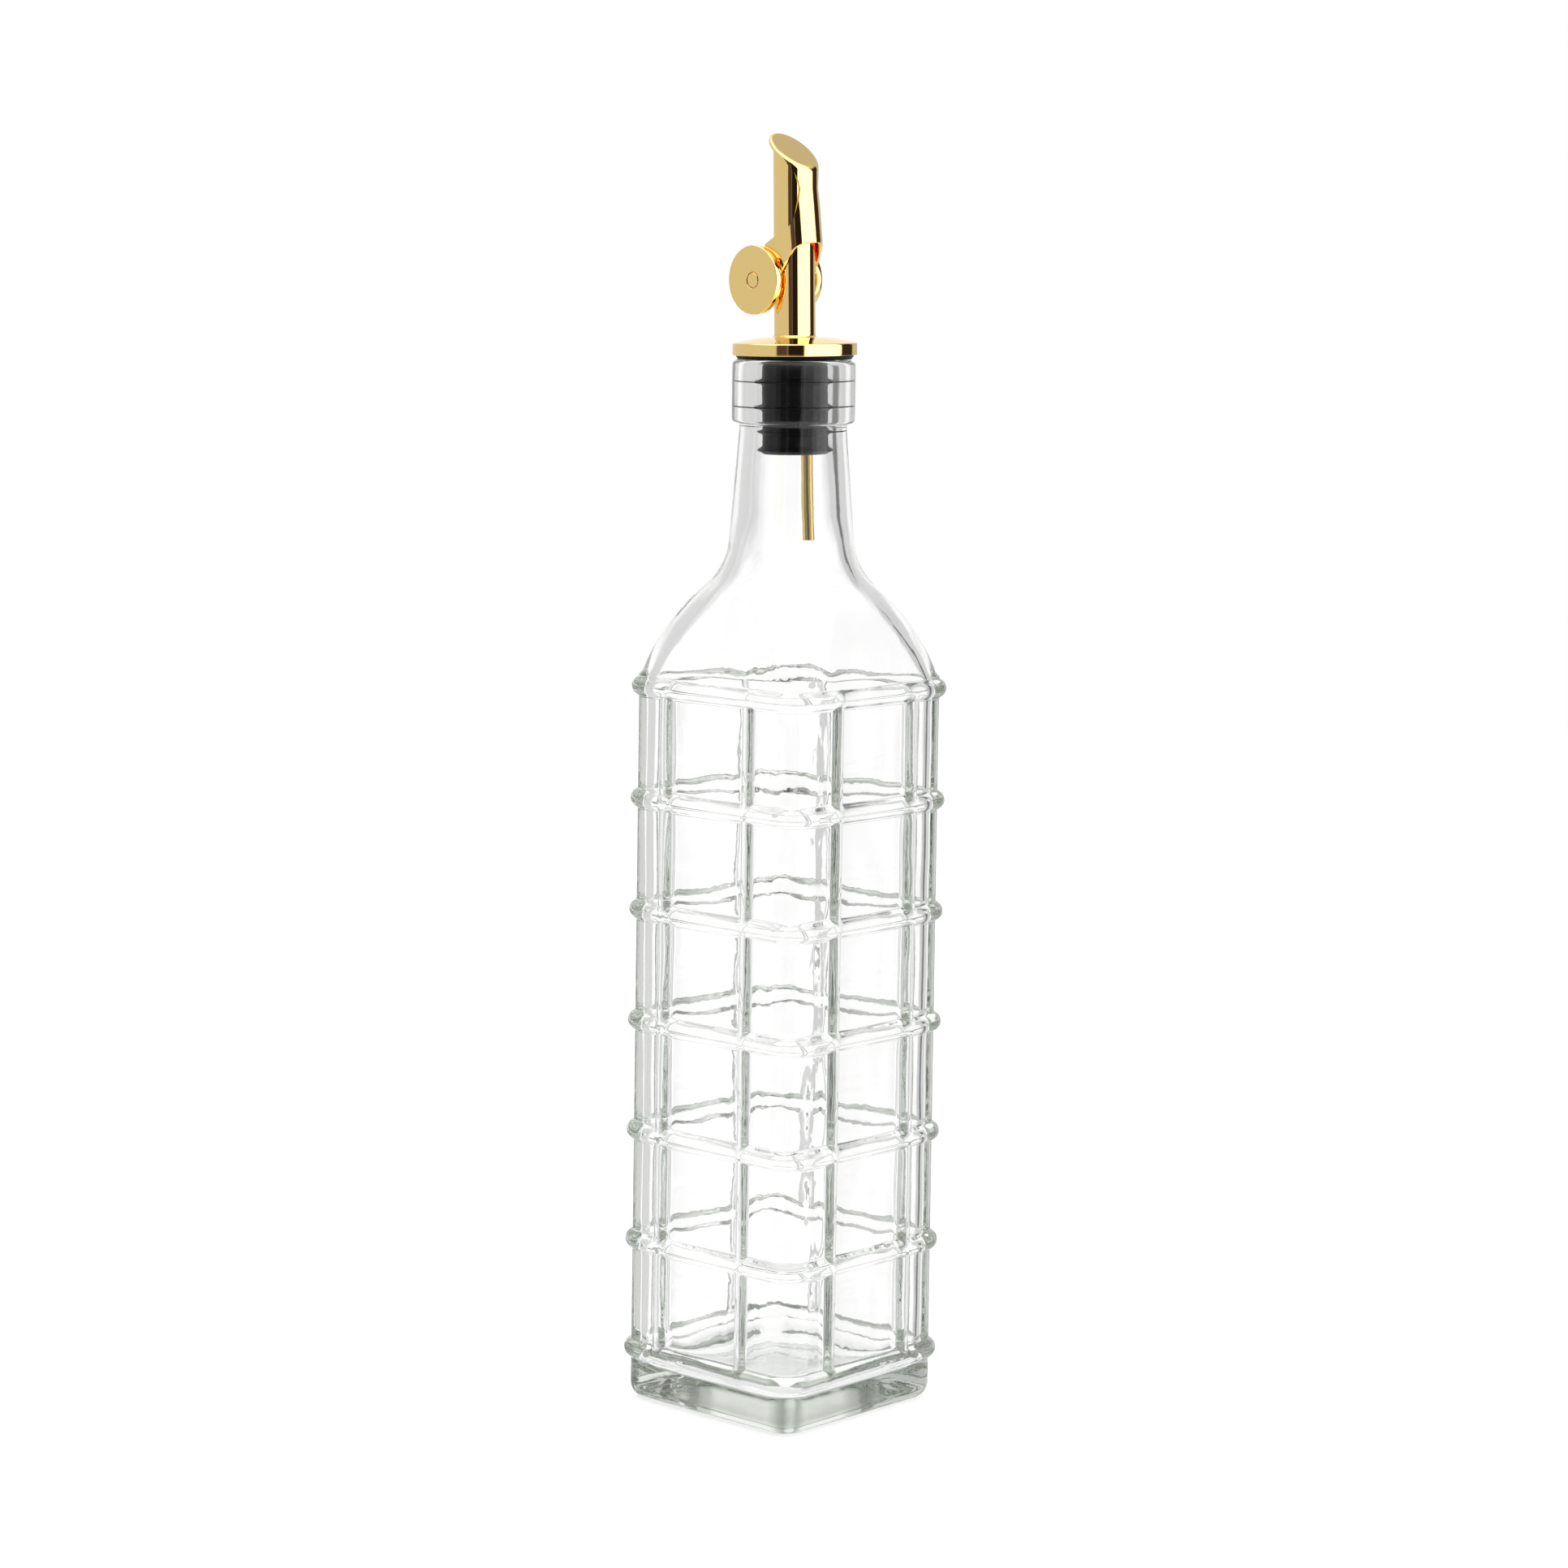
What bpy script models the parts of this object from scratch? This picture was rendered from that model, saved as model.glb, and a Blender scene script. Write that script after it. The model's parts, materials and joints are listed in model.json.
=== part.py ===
"""Square ribbed glass oil bottle with a rubber-stoppered pourer and a weighted flap.

Units are metres and +Z is up. The origin is the middle of the footprint, on the table.
The bottle's faces look along X and Y. The pourer stands on the glass lip and pours towards -X.
"""

import math

import bmesh
import bpy
from mathutils import Matrix, Vector

# Glass body: a square prism with round corners, 60 mm over its ribs.
BODY_HALF = 0.0282
BODY_FLARE = 0.0003
BODY_CORNER = 0.0068
HEEL_RADIUS = 0.0040
WALL = 0.0030
FLOOR_THICKNESS = 0.0080
PUSH_UP = 0.0015
PUSH_UP_HALF = 0.0145
BEARING_INNER_HALF = 0.0205
BEARING_CORNER = 0.0040
HEEL_STEPS = 3
INNER_LEAST_CORNER = 0.0020

# Rounding from the inner wall down to the floor, as (rise over the floor, inset from the wall).
FLOOR_ROUND = ((0.0060, 0.0), (0.0020, 0.0012), (0.0005, 0.0035), (0.0, 0.0080))

# Moulded ribs: seven rings and two upright ribs on each face.
RING_COUNT = 7
FIRST_RING_Z = 0.0130
RING_STEP = 0.02783
RING_LIFT = 0.0018
RING_TUBE = 0.0024
RIB_OFFSET = 0.0137
RIB_WIDTH = 0.0036
RIB_LIFT = 0.0014

# The mould's ribs on the face towards -Y stand this far towards -X of their even places.
RIB_SHIFT = -0.0011
SHIFTED_FACE = 3

# Points across half-round beads, as shares of half their width.
RING_POINTS = (-1.0, -0.75, 0.0, 0.75, 1.0)
RIB_POINTS = (-1.0, -0.7, 0.0, 0.7, 1.0)
CORNER_POINTS = (0.0, 0.5, 1.0)

# Shoulder: a convex arc up to the bend, then a concave one into the neck, both across the corners.
SHOULDER_RADIUS = 0.0489
SHOULDER_CENTRE_Z = 0.1669
SHOULDER_STEP = 0.0003
INNER_SHOULDER_DROP = 0.0018
BEND_Z = 0.2045
NECK_FILLET = 0.0172
SHOULDER_ROWS = 6
FILLET_ROWS = 5

# Neck and lip.
NECK_LEAN = math.radians(3.8)
NECK_TOP_RADIUS = 0.0133
LIP_BOTTOM_Z = 0.2448
LIP_TOP_Z = 0.2602
LIP_RADIUS = 0.0151
LIP_ROUND = 0.0009
MOUTH_RADIUS = 0.0097
BORE_EASE = 0.0008
LOWER_BORE_RADIUS = 0.0109
LOWER_BORE_Z = 0.2220

# Pourer, with heights from the top of the glass lip. It was pushed in by hand, a little askew.
POURER_TURN = math.radians(-3.0)
POURER_LEAN = math.radians(1.1)
LEAN_AZIMUTH = math.radians(222.0)
POURER_SHIFT = -0.0002
GAP = 0.0004
COLLAR_RADIUS = 0.0145
COLLAR_THICKNESS = 0.0005
CORE_RADIUS = 0.00805
STOPPER_DEPTH = 0.0230
FIN_DEPTHS = (0.0053, 0.0114, 0.0175, 0.0220)
FIN_RADIUS = 0.0091
FIN_ROOT = 0.0020
FIN_TIP = 0.0007
FLANGE_RADIUS = 0.0153
FLANGE_BASE = 0.0011
FLANGE_EDGE = 0.0030
FLANGE_DOME = 0.0017
FLANGE_ROUND = 0.0005
DOME_POINT = (0.66, 0.72)

# Spout tube, cut on a slant and open at both ends.
SPOUT_RADIUS = 0.00505
SPOUT_WALL = 0.0005
SPOUT_FIT = 0.0002
SPOUT_END = 0.0228
SPOUT_TOP = 0.0495
SLANT = 0.75
AIR_TUBE_RADIUS = 0.0015
AIR_TUBE_BORE = 0.0011
AIR_TUBE_END = 0.0439
AIR_TUBE_TOP = 0.0090
AIR_TUBE_OFFSET = 0.00285
AIR_TUBE_LEAN = 0.018
AIR_TUBE_AZIMUTH = math.radians(45.0)

# Flap, with heights from its hinge: a sheet sleeve round the spout, closed by a slanted lid.
HINGE_HEIGHT = 0.0235
HINGE_BACK = 0.0004
SHEET = 0.0006
SLEEVE_RADIUS = 0.0059
LID_HEIGHT = 0.0272
LID_OVERHANG = 0.0002
LID_SETBACK = 0.0001
LID_ROUND_POINTS = (1.0, 0.4, 0.0)
LID_ROUND = 0.0011
BACK_LEAN = 0.0014
BACK_BOTTOM = 0.0048
BACK_TOP = 0.0200
EAR_REACH = 0.0120
SLEEVE_BOTTOM = -0.0140
OPEN_END = 0.0020
PIN_RADIUS = 0.0010
PIN_HOLE_RADIUS = 0.0013
PIN_END = 0.0048
DIMPLE_RADIUS = 0.0012
DIMPLE_DEPTH = 0.0008

# The dimple's rings, as shares of its radius and depth. The last one lies outside the ear.
DIMPLE_RINGS = ((0.45, 0.0), (0.85, 0.5), (1.0, 1.0), (1.0, 1.6))

# Counterweights: two discs on a rod that lies just in front of the spout.
WEIGHT_RADIUS = 0.0084
WEIGHT_THICKNESS = 0.00185
WEIGHT_OUTER_FACE = 0.0079
WEIGHT_FORWARD = 0.0070
WEIGHT_DROP = 0.0042
WEIGHT_EDGE = 0.0003
ROD_RADIUS = 0.0012
ROD_HEAD_RADIUS = 0.0018
ROD_PLAY = 0.0002

# The ears' round ends about the rod, from the waist's end round to the undercut's start.
EAR_RADIUS = 0.0074
EAR_BEGIN = math.radians(78)
EAR_END = math.radians(345)
EAR_STEPS = 18

# Waist and ear outline of the flap seen along the hinge, as (back, up) from the hinge.
WAIST = (
    (-0.0076, 0.0306),
    (-0.0032, 0.0280),
    (0.0007, 0.0251),
    (0.0034, 0.0224),
    (0.0046, 0.0190),
    (0.0047, 0.0150),
    (0.0040, 0.0106),
    (0.0025, 0.0082),
    (-0.0010, 0.0064),
    (-0.0044, 0.0046),
)
UNDERCUT = (
    (-0.0018, -0.0062),
    (0.0005, -0.0026),
    (0.0018, -0.0006),
    (0.0032, 0.0019),
    (0.0047, 0.0038),
    (0.0064, 0.0048),
)

# How far the side outline and its prism pass the flap.
OUTLINE_MARGIN = 0.0090
PRISM_REACH = 0.0100

SEGMENTS = 44
STOPPER_SEGMENTS = 32
SMALL_SEGMENTS = 20
SMOOTH_ANGLE = math.radians(35)


def material(name, colour, roughness, metallic=0.0, transmission=0.0):
    """A plain Principled material."""
    made = bpy.data.materials.new(name)
    made.use_nodes = True
    shader = made.node_tree.nodes["Principled BSDF"]
    shader.inputs["Base Color"].default_value = (*colour, 1.0)
    shader.inputs["Roughness"].default_value = roughness
    shader.inputs["Metallic"].default_value = metallic
    shader.inputs["Transmission Weight"].default_value = transmission
    return made


def mesh_object(name, form, finish, parent=None):
    """Turns a bmesh into a smooth-shaded object, its faces pointing out."""
    bmesh.ops.recalc_face_normals(form, faces=form.faces)
    mesh = bpy.data.meshes.new(name)
    form.to_mesh(mesh)
    form.free()
    mesh.shade_smooth()
    mesh.set_sharp_from_angle(angle=SMOOTH_ANGLE)
    mesh.materials.append(finish)
    made = bpy.data.objects.new(name, mesh)
    bpy.context.scene.collection.objects.link(made)
    made.parent = parent
    return made


def empty_at(name, location, parent=None):
    """A frame for the pieces that share it."""
    made = bpy.data.objects.new(name, None)
    made.location = location
    made.parent = parent
    bpy.context.scene.collection.objects.link(made)
    return made


def loft(loops, closed=False):
    """A bmesh through loops of equally many points: capped at both ends, or closed into a ring."""
    form = bmesh.new()
    rows = [[form.verts.new(point) for point in loop] for loop in loops]
    pairs = list(zip(rows, rows[1:]))
    if closed:
        pairs.append((rows[-1], rows[0]))
    for low, high in pairs:
        for i in range(len(low)):
            j = (i + 1) % len(low)
            form.faces.new((low[i], low[j], high[j], high[i]))
    if not closed:
        form.faces.new(list(reversed(rows[0])))
        form.faces.new(rows[-1])
    return form


def ring_of(radius, z, count=SEGMENTS):
    """Points of a level circle about Z."""
    steps = [2 * math.pi * i / count for i in range(count)]
    return [Vector((radius * math.cos(a), radius * math.sin(a), z)) for a in steps]


def turned(name, outline, finish, parent, count=SEGMENTS):
    """A ring-shaped solid turned about Z from a closed (radius, z) outline."""
    form = loft([ring_of(radius, z, count) for radius, z in outline], closed=True)
    return mesh_object(name, form, finish, parent)


def smooth_curve(points, steps=4):
    """A Catmull-Rom curve through points in the plane."""
    ends = [2 * Vector(points[0]) - Vector(points[1])]
    tail = [2 * Vector(points[-1]) - Vector(points[-2])]
    knots = ends + [Vector(p) for p in points] + tail
    found = []
    for a, b, c, d in zip(knots, knots[1:], knots[2:], knots[3:]):
        for step in range(steps):
            t = step / steps
            found.append(
                0.5 * (2 * b + (c - a) * t + (2 * a - 5 * b + 4 * c - d) * t**2)
                + 0.5 * (3 * b - a - 3 * c + d) * t**3
            )
    return found + [knots[-2]]


def cut(target, tool, operation):
    """Applies one Boolean to target and removes the tool."""
    modifier = target.modifiers.new("cut", "BOOLEAN")
    modifier.operation = operation
    modifier.solver = "EXACT"
    modifier.object = tool
    graph = bpy.context.evaluated_depsgraph_get()
    mesh = bpy.data.meshes.new_from_object(target.evaluated_get(graph))
    target.modifiers.clear()
    old = target.data
    target.data = mesh
    mesh.name = target.name
    bpy.data.meshes.remove(old)
    bpy.data.objects.remove(tool)


def corner_reach(half, corner):
    """How far a rounded square reaches from its middle, across its corner."""
    return (half - corner) * math.sqrt(2) + corner


def section_point(half, corner, angle):
    """Point and outward direction on a rounded square, at a polar angle from +X."""
    quarter = round(angle / (math.pi / 2))
    local = angle - quarter * math.pi / 2
    ray = Vector((math.cos(local), math.sin(local)))
    flat = half - corner
    if abs(math.tan(local)) * half <= flat:
        point = Vector((half, half * math.tan(local)))
        outward = Vector((1.0, 0.0))
    else:
        centre = Vector((flat, math.copysign(flat, local)))
        along = centre.dot(ray)
        point = ray * (along + math.sqrt(max(along**2 - centre.length_squared + corner**2, 0)))
        outward = (point - centre).normalized()
    turn = quarter * math.pi / 2
    c, s = math.cos(turn), math.sin(turn)
    return (
        Vector((c * point.x - s * point.y, s * point.x + c * point.y)),
        Vector((c * outward.x - s * outward.y, s * outward.x + c * outward.y)),
    )


def rib_lift(across):
    """Height of an upright rib's rounded section at a distance from its crest."""
    half_width = RIB_WIDTH / 2
    return RIB_LIFT * math.sqrt(max(1 - (across / half_width) ** 2, 0))


def face_ribs(shift):
    """Polar angles over one face's two ribs, each with the rib's height there."""
    found = []
    for middle in (shift - RIB_OFFSET, shift + RIB_OFFSET):
        for share in RIB_POINTS:
            offset = share * RIB_WIDTH / 2
            found.append((math.atan2(middle + offset, BODY_HALF), rib_lift(offset)))
    half = len(RIB_POINTS)
    return found[:half] + [(0.0, 0.0)] + found[half:]


def columns():
    """Polar angles round the bottle, each with the upright rib's height there."""
    flat = BODY_HALF - BODY_CORNER
    corner = []
    for part in CORNER_POINTS:
        arc = part * math.pi / 4
        point = (flat + BODY_CORNER * math.cos(arc), flat + BODY_CORNER * math.sin(arc))
        corner.append((math.atan2(point[1], point[0]), 0.0))
    mirrored = [(-angle, lift) for angle, lift in reversed(corner[:-1])]
    stations = []
    for face in range(4):
        shift = RIB_SHIFT if face == SHIFTED_FACE else 0.0
        for angle, lift in mirrored + face_ribs(shift) + corner:
            stations.append((face * math.pi / 2 + angle, lift))
    return stations


def last_ring_z():
    """Height of the top ring's middle."""
    return FIRST_RING_Z + (RING_COUNT - 1) * RING_STEP


def body_half(z):
    """Half side of the panels, which widen a little towards the base."""
    return BODY_HALF + BODY_FLARE * max(1 - z / last_ring_z(), 0)


def ring_profile():
    """Height steps and lifts of one moulded ring's round section."""
    sunk = RING_TUBE - RING_LIFT
    foot = math.sqrt(RING_TUBE**2 - sunk**2)
    return [
        (share * foot, max(math.sqrt(RING_TUBE**2 - (share * foot) ** 2) - sunk, 0.0))
        for share in RING_POINTS
    ]


def shoulder_reach(z):
    """Outer reach across the corners at a height on the shoulder."""
    body_reach = corner_reach(BODY_HALF, BODY_CORNER)
    start = math.sqrt(SHOULDER_RADIUS**2 - (last_ring_z() - SHOULDER_CENTRE_Z) ** 2)
    shift = body_reach + SHOULDER_STEP - start
    if z <= BEND_Z:
        return shift + math.sqrt(SHOULDER_RADIUS**2 - (z - SHOULDER_CENTRE_Z) ** 2)
    tilt = math.asin((BEND_Z - SHOULDER_CENTRE_Z) / SHOULDER_RADIUS)
    bend_reach = shift + SHOULDER_RADIUS * math.cos(tilt)
    centre_z = BEND_Z + NECK_FILLET * math.sin(tilt)
    centre = bend_reach + NECK_FILLET * math.cos(tilt)
    return centre - math.sqrt(NECK_FILLET**2 - (z - centre_z) ** 2)


def fillet_top_z():
    """Height where the shoulder's fillet meets the leaning neck."""
    tilt = math.asin((BEND_Z - SHOULDER_CENTRE_Z) / SHOULDER_RADIUS)
    return BEND_Z + NECK_FILLET * (math.sin(tilt) - math.sin(NECK_LEAN))


def rounded_section(reach, least, most, half_share):
    """Half side and corner radius of a section between a circle and the body's rounded square.

    It is the circle at its least reach and the square at its most.
    """
    squareness = max(min((reach - least) / (most - least), 1.0), 0.0)
    half = reach * (1 - (1 - half_share) * squareness)
    corner = (math.sqrt(2) * half - reach) / (math.sqrt(2) - 1)
    return half, min(corner, half)


def outer_rows():
    """Rows of the outside, from the push-up under the base to the lip.

    Each row is its height, half side, corner radius, ring height and whether it crosses the ribs.
    """
    rows = [
        (PUSH_UP, PUSH_UP_HALF, BEARING_CORNER, 0.0, False),
        (0.0, BEARING_INNER_HALF, BEARING_CORNER, 0.0, False),
    ]
    for step in range(HEEL_STEPS + 1):
        angle = step / HEEL_STEPS * math.pi / 2
        inset = HEEL_RADIUS * (1 - math.sin(angle))
        z = HEEL_RADIUS * (1 - math.cos(angle))
        rows.append((z, body_half(z) - inset, BODY_CORNER - inset, 0.0, False))
    for ring in range(RING_COUNT):
        centre = FIRST_RING_Z + ring * RING_STEP
        for step, lift in ring_profile():
            below_first = ring == 0 and step < 0
            above_last = ring == RING_COUNT - 1 and step > 0
            ribbed = not (below_first or above_last)
            half = body_half(centre + step)
            rows.append((centre + step, half, BODY_CORNER, lift, ribbed))
    body_reach = corner_reach(BODY_HALF, BODY_CORNER)
    top = fillet_top_z()
    neck_reach = shoulder_reach(top)
    start = last_ring_z() + ring_profile()[-1][0]
    heights = [start + (BEND_Z - start) * (i + 1) / SHOULDER_ROWS for i in range(SHOULDER_ROWS)]
    heights += [BEND_Z + (top - BEND_Z) * (i + 1) / FILLET_ROWS for i in range(FILLET_ROWS)]
    for z in heights:
        reach = shoulder_reach(z)
        half, corner = rounded_section(reach, neck_reach, body_reach, BODY_HALF / body_reach)
        rows.append((z, half, corner, 0.0, False))
    eased = LIP_ROUND * (1 - math.sqrt(0.5))
    for radius, z in (
        (NECK_TOP_RADIUS, LIP_BOTTOM_Z - LIP_ROUND),
        (LIP_RADIUS - LIP_ROUND, LIP_BOTTOM_Z),
        (LIP_RADIUS, LIP_BOTTOM_Z + LIP_ROUND),
        (LIP_RADIUS, LIP_TOP_Z - LIP_ROUND),
        (LIP_RADIUS - eased, LIP_TOP_Z - eased),
        (LIP_RADIUS - LIP_ROUND, LIP_TOP_Z),
    ):
        rows.append((z, radius, radius, 0.0, False))
    return rows


def inner_rows():
    """Rows of the inside, from the mouth down to the floor."""
    rows = [
        (LIP_TOP_Z, MOUTH_RADIUS + BORE_EASE, MOUTH_RADIUS + BORE_EASE),
        (LIP_TOP_Z - BORE_EASE, MOUTH_RADIUS, MOUTH_RADIUS),
        (LIP_BOTTOM_Z, MOUTH_RADIUS, MOUTH_RADIUS),
        (LOWER_BORE_Z, LOWER_BORE_RADIUS, LOWER_BORE_RADIUS),
    ]
    inner_half = BODY_HALF - WALL
    inner_corner = BODY_CORNER - WALL / 2
    body_reach = corner_reach(inner_half, inner_corner)
    top = fillet_top_z()
    low = last_ring_z()
    count = SHOULDER_ROWS + 2
    for i in range(count):
        z = top + (low - top) * (i + 1) / count
        outside = shoulder_reach(z + INNER_SHOULDER_DROP)
        reach = min(outside - WALL, body_reach)
        half, corner = rounded_section(
            reach, LOWER_BORE_RADIUS, body_reach, inner_half / body_reach
        )
        rows.append((z, half, corner))
    for rise, inset in FLOOR_ROUND:
        corner = max(inner_corner - inset, INNER_LEAST_CORNER)
        rows.append((FLOOR_THICKNESS + rise, inner_half - inset, corner))
    return rows


def glass_bottle(finish):
    """The whole glass in one skin: up the outside, over the lip and down the inside."""
    stations = columns()
    loops = []
    for z, half, corner, ring_lift, ribbed in outer_rows():
        loop = []
        for angle, lift in stations:
            point, outward = section_point(half, corner, angle)
            height = max(ring_lift, lift) if ribbed else ring_lift
            point = point + outward * height
            loop.append(Vector((point.x, point.y, z)))
        loops.append(loop)
    for z, half, corner in inner_rows():
        points = [section_point(half, corner, angle)[0] for angle, _ in stations]
        loops.append([Vector((point.x, point.y, z)) for point in points])
    return mesh_object("bottle", loft(loops), finish)


def pourer_frame():
    """The frame of stopper, spout and flap: on the lip, turned a little and leaning a little."""
    way = Vector((math.cos(LEAN_AZIMUTH), math.sin(LEAN_AZIMUTH), 0))
    frame = empty_at("pourer", way * POURER_SHIFT + Vector((0, 0, LIP_TOP_Z)))
    lean = Matrix.Rotation(POURER_LEAN, 4, Vector((-way.y, way.x, 0)))
    frame.rotation_euler = (lean @ Matrix.Rotation(POURER_TURN, 4, "Z")).to_euler()
    return frame


def rubber_stopper(finish, parent):
    """Finned plug with a thin collar that lies on the glass lip."""
    bore = SPOUT_RADIUS + SPOUT_FIT
    top = GAP + COLLAR_THICKNESS
    outline = [(bore, top), (COLLAR_RADIUS, top), (COLLAR_RADIUS, GAP), (CORE_RADIUS, GAP)]
    for depth in FIN_DEPTHS:
        root, tip = FIN_ROOT / 2, FIN_TIP / 2
        outline += [
            (CORE_RADIUS, root - depth),
            (FIN_RADIUS, tip - depth),
            (FIN_RADIUS, -tip - depth),
            (CORE_RADIUS, -root - depth),
        ]
    outline[-1] = (CORE_RADIUS, -STOPPER_DEPTH)
    outline.append((bore, -STOPPER_DEPTH))
    return turned("stopper", outline, finish, parent, STOPPER_SEGMENTS)


def metal_flange(finish, parent):
    """Round plate with a low dome, over the stopper's collar."""
    base, edge = FLANGE_BASE, FLANGE_BASE + FLANGE_EDGE
    bore = SPOUT_RADIUS + SPOUT_FIT
    outline = [
        (bore, base),
        (FLANGE_RADIUS - FLANGE_ROUND, base),
        (FLANGE_RADIUS, base + FLANGE_ROUND),
        (FLANGE_RADIUS, edge - FLANGE_ROUND),
        (FLANGE_RADIUS - FLANGE_ROUND, edge),
        (FLANGE_RADIUS * DOME_POINT[0], edge + FLANGE_DOME * DOME_POINT[1]),
        (bore, edge + FLANGE_DOME),
    ]
    return turned("flange", outline, finish, parent)


def spout_tube(finish, parent):
    """Thin tube through flange and stopper, cut on a slant, with two holes for the flap's pins."""
    inner = SPOUT_RADIUS - SPOUT_WALL
    loops = [ring_of(inner, -SPOUT_END), ring_of(SPOUT_RADIUS, -SPOUT_END)]
    for radius in (SPOUT_RADIUS, inner):
        loops.append([p + Vector((0, 0, -SLANT * p.x)) for p in ring_of(radius, SPOUT_TOP)])
    tube = mesh_object("spout", loft(loops, closed=True), finish, parent)
    reach = 2 * SPOUT_RADIUS
    drill = loft([ring_of(PIN_HOLE_RADIUS, z, SMALL_SEGMENTS) for z in (-reach, reach)])
    tool = mesh_object("pin_drill", drill, finish, parent)
    tool.rotation_euler = (math.pi / 2, 0, 0)
    tool.location = (HINGE_BACK, 0, HINGE_HEIGHT)
    cut(tube, tool, "DIFFERENCE")
    return tube


def air_tube(finish, parent):
    """Thin vent tube that leans out of the spout's lower end into the neck."""
    middle = -(AIR_TUBE_END + AIR_TUBE_TOP) / 2
    half_length = (AIR_TUBE_END - AIR_TUBE_TOP) / 2
    outline = [
        (AIR_TUBE_BORE, -half_length),
        (AIR_TUBE_RADIUS, -half_length),
        (AIR_TUBE_RADIUS, half_length),
        (AIR_TUBE_BORE, half_length),
    ]
    tube = turned("air_tube", outline, finish, parent, SMALL_SEGMENTS)
    offset = AIR_TUBE_OFFSET + AIR_TUBE_LEAN * (-STOPPER_DEPTH - middle)
    tube.location = (
        offset * math.cos(AIR_TUBE_AZIMUTH),
        offset * math.sin(AIR_TUBE_AZIMUTH),
        middle,
    )
    tube.rotation_euler = (0, -math.atan(AIR_TUBE_LEAN), AIR_TUBE_AZIMUTH)
    return tube


def sleeve_loop(radius, back, front, z, slope=0.0):
    """A level stadium: a half circle moved back, one moved forward, with straight sides between."""
    half_count = SEGMENTS // 2
    loop = []
    for shift, start in ((back, -math.pi / 2), (-front, math.pi / 2)):
        for i in range(half_count + 1):
            angle = start + math.pi * i / half_count
            x = shift + radius * math.cos(angle)
            loop.append(Vector((x - HINGE_BACK, radius * math.sin(angle), z - slope * x)))
    return loop


def sleeve(radius, lid_height, round_size):
    """Closed sleeve form: long at the ears, round at the slanted lid, leaning back low down."""
    loops = [
        sleeve_loop(radius, BACK_LEAN, EAR_REACH, SLEEVE_BOTTOM),
        sleeve_loop(radius, BACK_LEAN, EAR_REACH, BACK_BOTTOM),
        sleeve_loop(radius, BACK_LEAN / 2, EAR_REACH, (BACK_BOTTOM + BACK_TOP) / 2),
        sleeve_loop(radius, LID_SETBACK, LID_OVERHANG, BACK_TOP - SLANT * radius / 2),
    ]
    for share in LID_ROUND_POINTS:
        inset = round_size * (1 - share) ** 2
        height = lid_height - round_size * share**2
        loops.append(sleeve_loop(radius - inset, LID_SETBACK, LID_OVERHANG, height, SLANT))
    return loft(loops)


def side_outline():
    """The flap's outline seen along the hinge: lid and back, waist, ears round the weights' rod."""
    centre = Vector((-WEIGHT_FORWARD, -WEIGHT_DROP))
    outline = smooth_curve(WAIST)
    for i in range(EAR_STEPS + 1):
        angle = EAR_BEGIN + (EAR_END - EAR_BEGIN) * i / EAR_STEPS
        outline.append(centre + EAR_RADIUS * Vector((math.cos(angle), math.sin(angle))))
    outline += smooth_curve(UNDERCUT)[1:]
    above = LID_HEIGHT + OUTLINE_MARGIN
    outline.append(Vector((OUTLINE_MARGIN, BACK_BOTTOM)))
    outline.append(Vector((OUTLINE_MARGIN, above)))
    outline.append(Vector((-OUTLINE_MARGIN, above)))
    return outline


def side_prism(outline, finish, parent):
    """The outline drawn out along the hinge, past both ears."""
    loops = [[Vector((p.x, y, p.y)) for p in outline] for y in (-PRISM_REACH, PRISM_REACH)]
    return mesh_object("side_outline", loft(loops), finish, parent)


def hinge_pin(side, finish, parent):
    """Round pin pressed out of one ear into the spout's hole."""
    length = SLEEVE_RADIUS - SHEET / 2 - PIN_END
    form = loft([ring_of(PIN_RADIUS, z, SMALL_SEGMENTS) for z in (0.0, length)])
    pin = mesh_object("pin", form, finish, parent)
    pin.rotation_euler = (side * math.pi / 2, 0, 0)
    pin.location = (0, side * (PIN_END + length), 0)
    return pin


def dimple(side, finish, parent):
    """The hollow that the pin's pressing leaves outside the ear."""
    form = loft(
        [ring_of(DIMPLE_RADIUS * r, DIMPLE_DEPTH * z, SMALL_SEGMENTS) for r, z in DIMPLE_RINGS]
    )
    hollow = mesh_object("dimple", form, finish, parent)
    hollow.rotation_euler = (-side * math.pi / 2, 0, 0)
    hollow.location = (0, side * (SLEEVE_RADIUS - DIMPLE_DEPTH), 0)
    return hollow


def sheet_flap(finish, parent):
    """Lid, back strip and two ears in one folded sheet, with its hinge pins."""
    flap = mesh_object("flap", sleeve(SLEEVE_RADIUS, LID_HEIGHT, LID_ROUND), finish, parent)
    rise = SHEET * math.sqrt(1 + SLANT**2)
    inside = sleeve(SLEEVE_RADIUS - SHEET, LID_HEIGHT - rise, LID_ROUND / 2)
    lowest = [v for v in inside.verts if v.co.z < SLEEVE_BOTTOM / 2]
    bmesh.ops.translate(inside, verts=lowest, vec=(0, 0, -OPEN_END))
    cut(flap, mesh_object("inside", inside, finish, parent), "DIFFERENCE")
    cut(flap, side_prism(side_outline(), finish, parent), "INTERSECT")
    for side in (-1, 1):
        cut(flap, hinge_pin(side, finish, parent), "UNION")
        cut(flap, dimple(side, finish, parent), "DIFFERENCE")
    reach = 2 * SLEEVE_RADIUS
    hole = ROD_RADIUS + ROD_PLAY
    drill = loft([ring_of(hole, z, SMALL_SEGMENTS) for z in (-reach, reach)])
    tool = mesh_object("rod_drill", drill, finish, parent)
    tool.rotation_euler = (math.pi / 2, 0, 0)
    tool.location = (-WEIGHT_FORWARD, 0, -WEIGHT_DROP)
    cut(flap, tool, "DIFFERENCE")
    flap.data.shade_smooth()
    flap.data.set_sharp_from_angle(angle=SMOOTH_ANGLE)
    return flap


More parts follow.
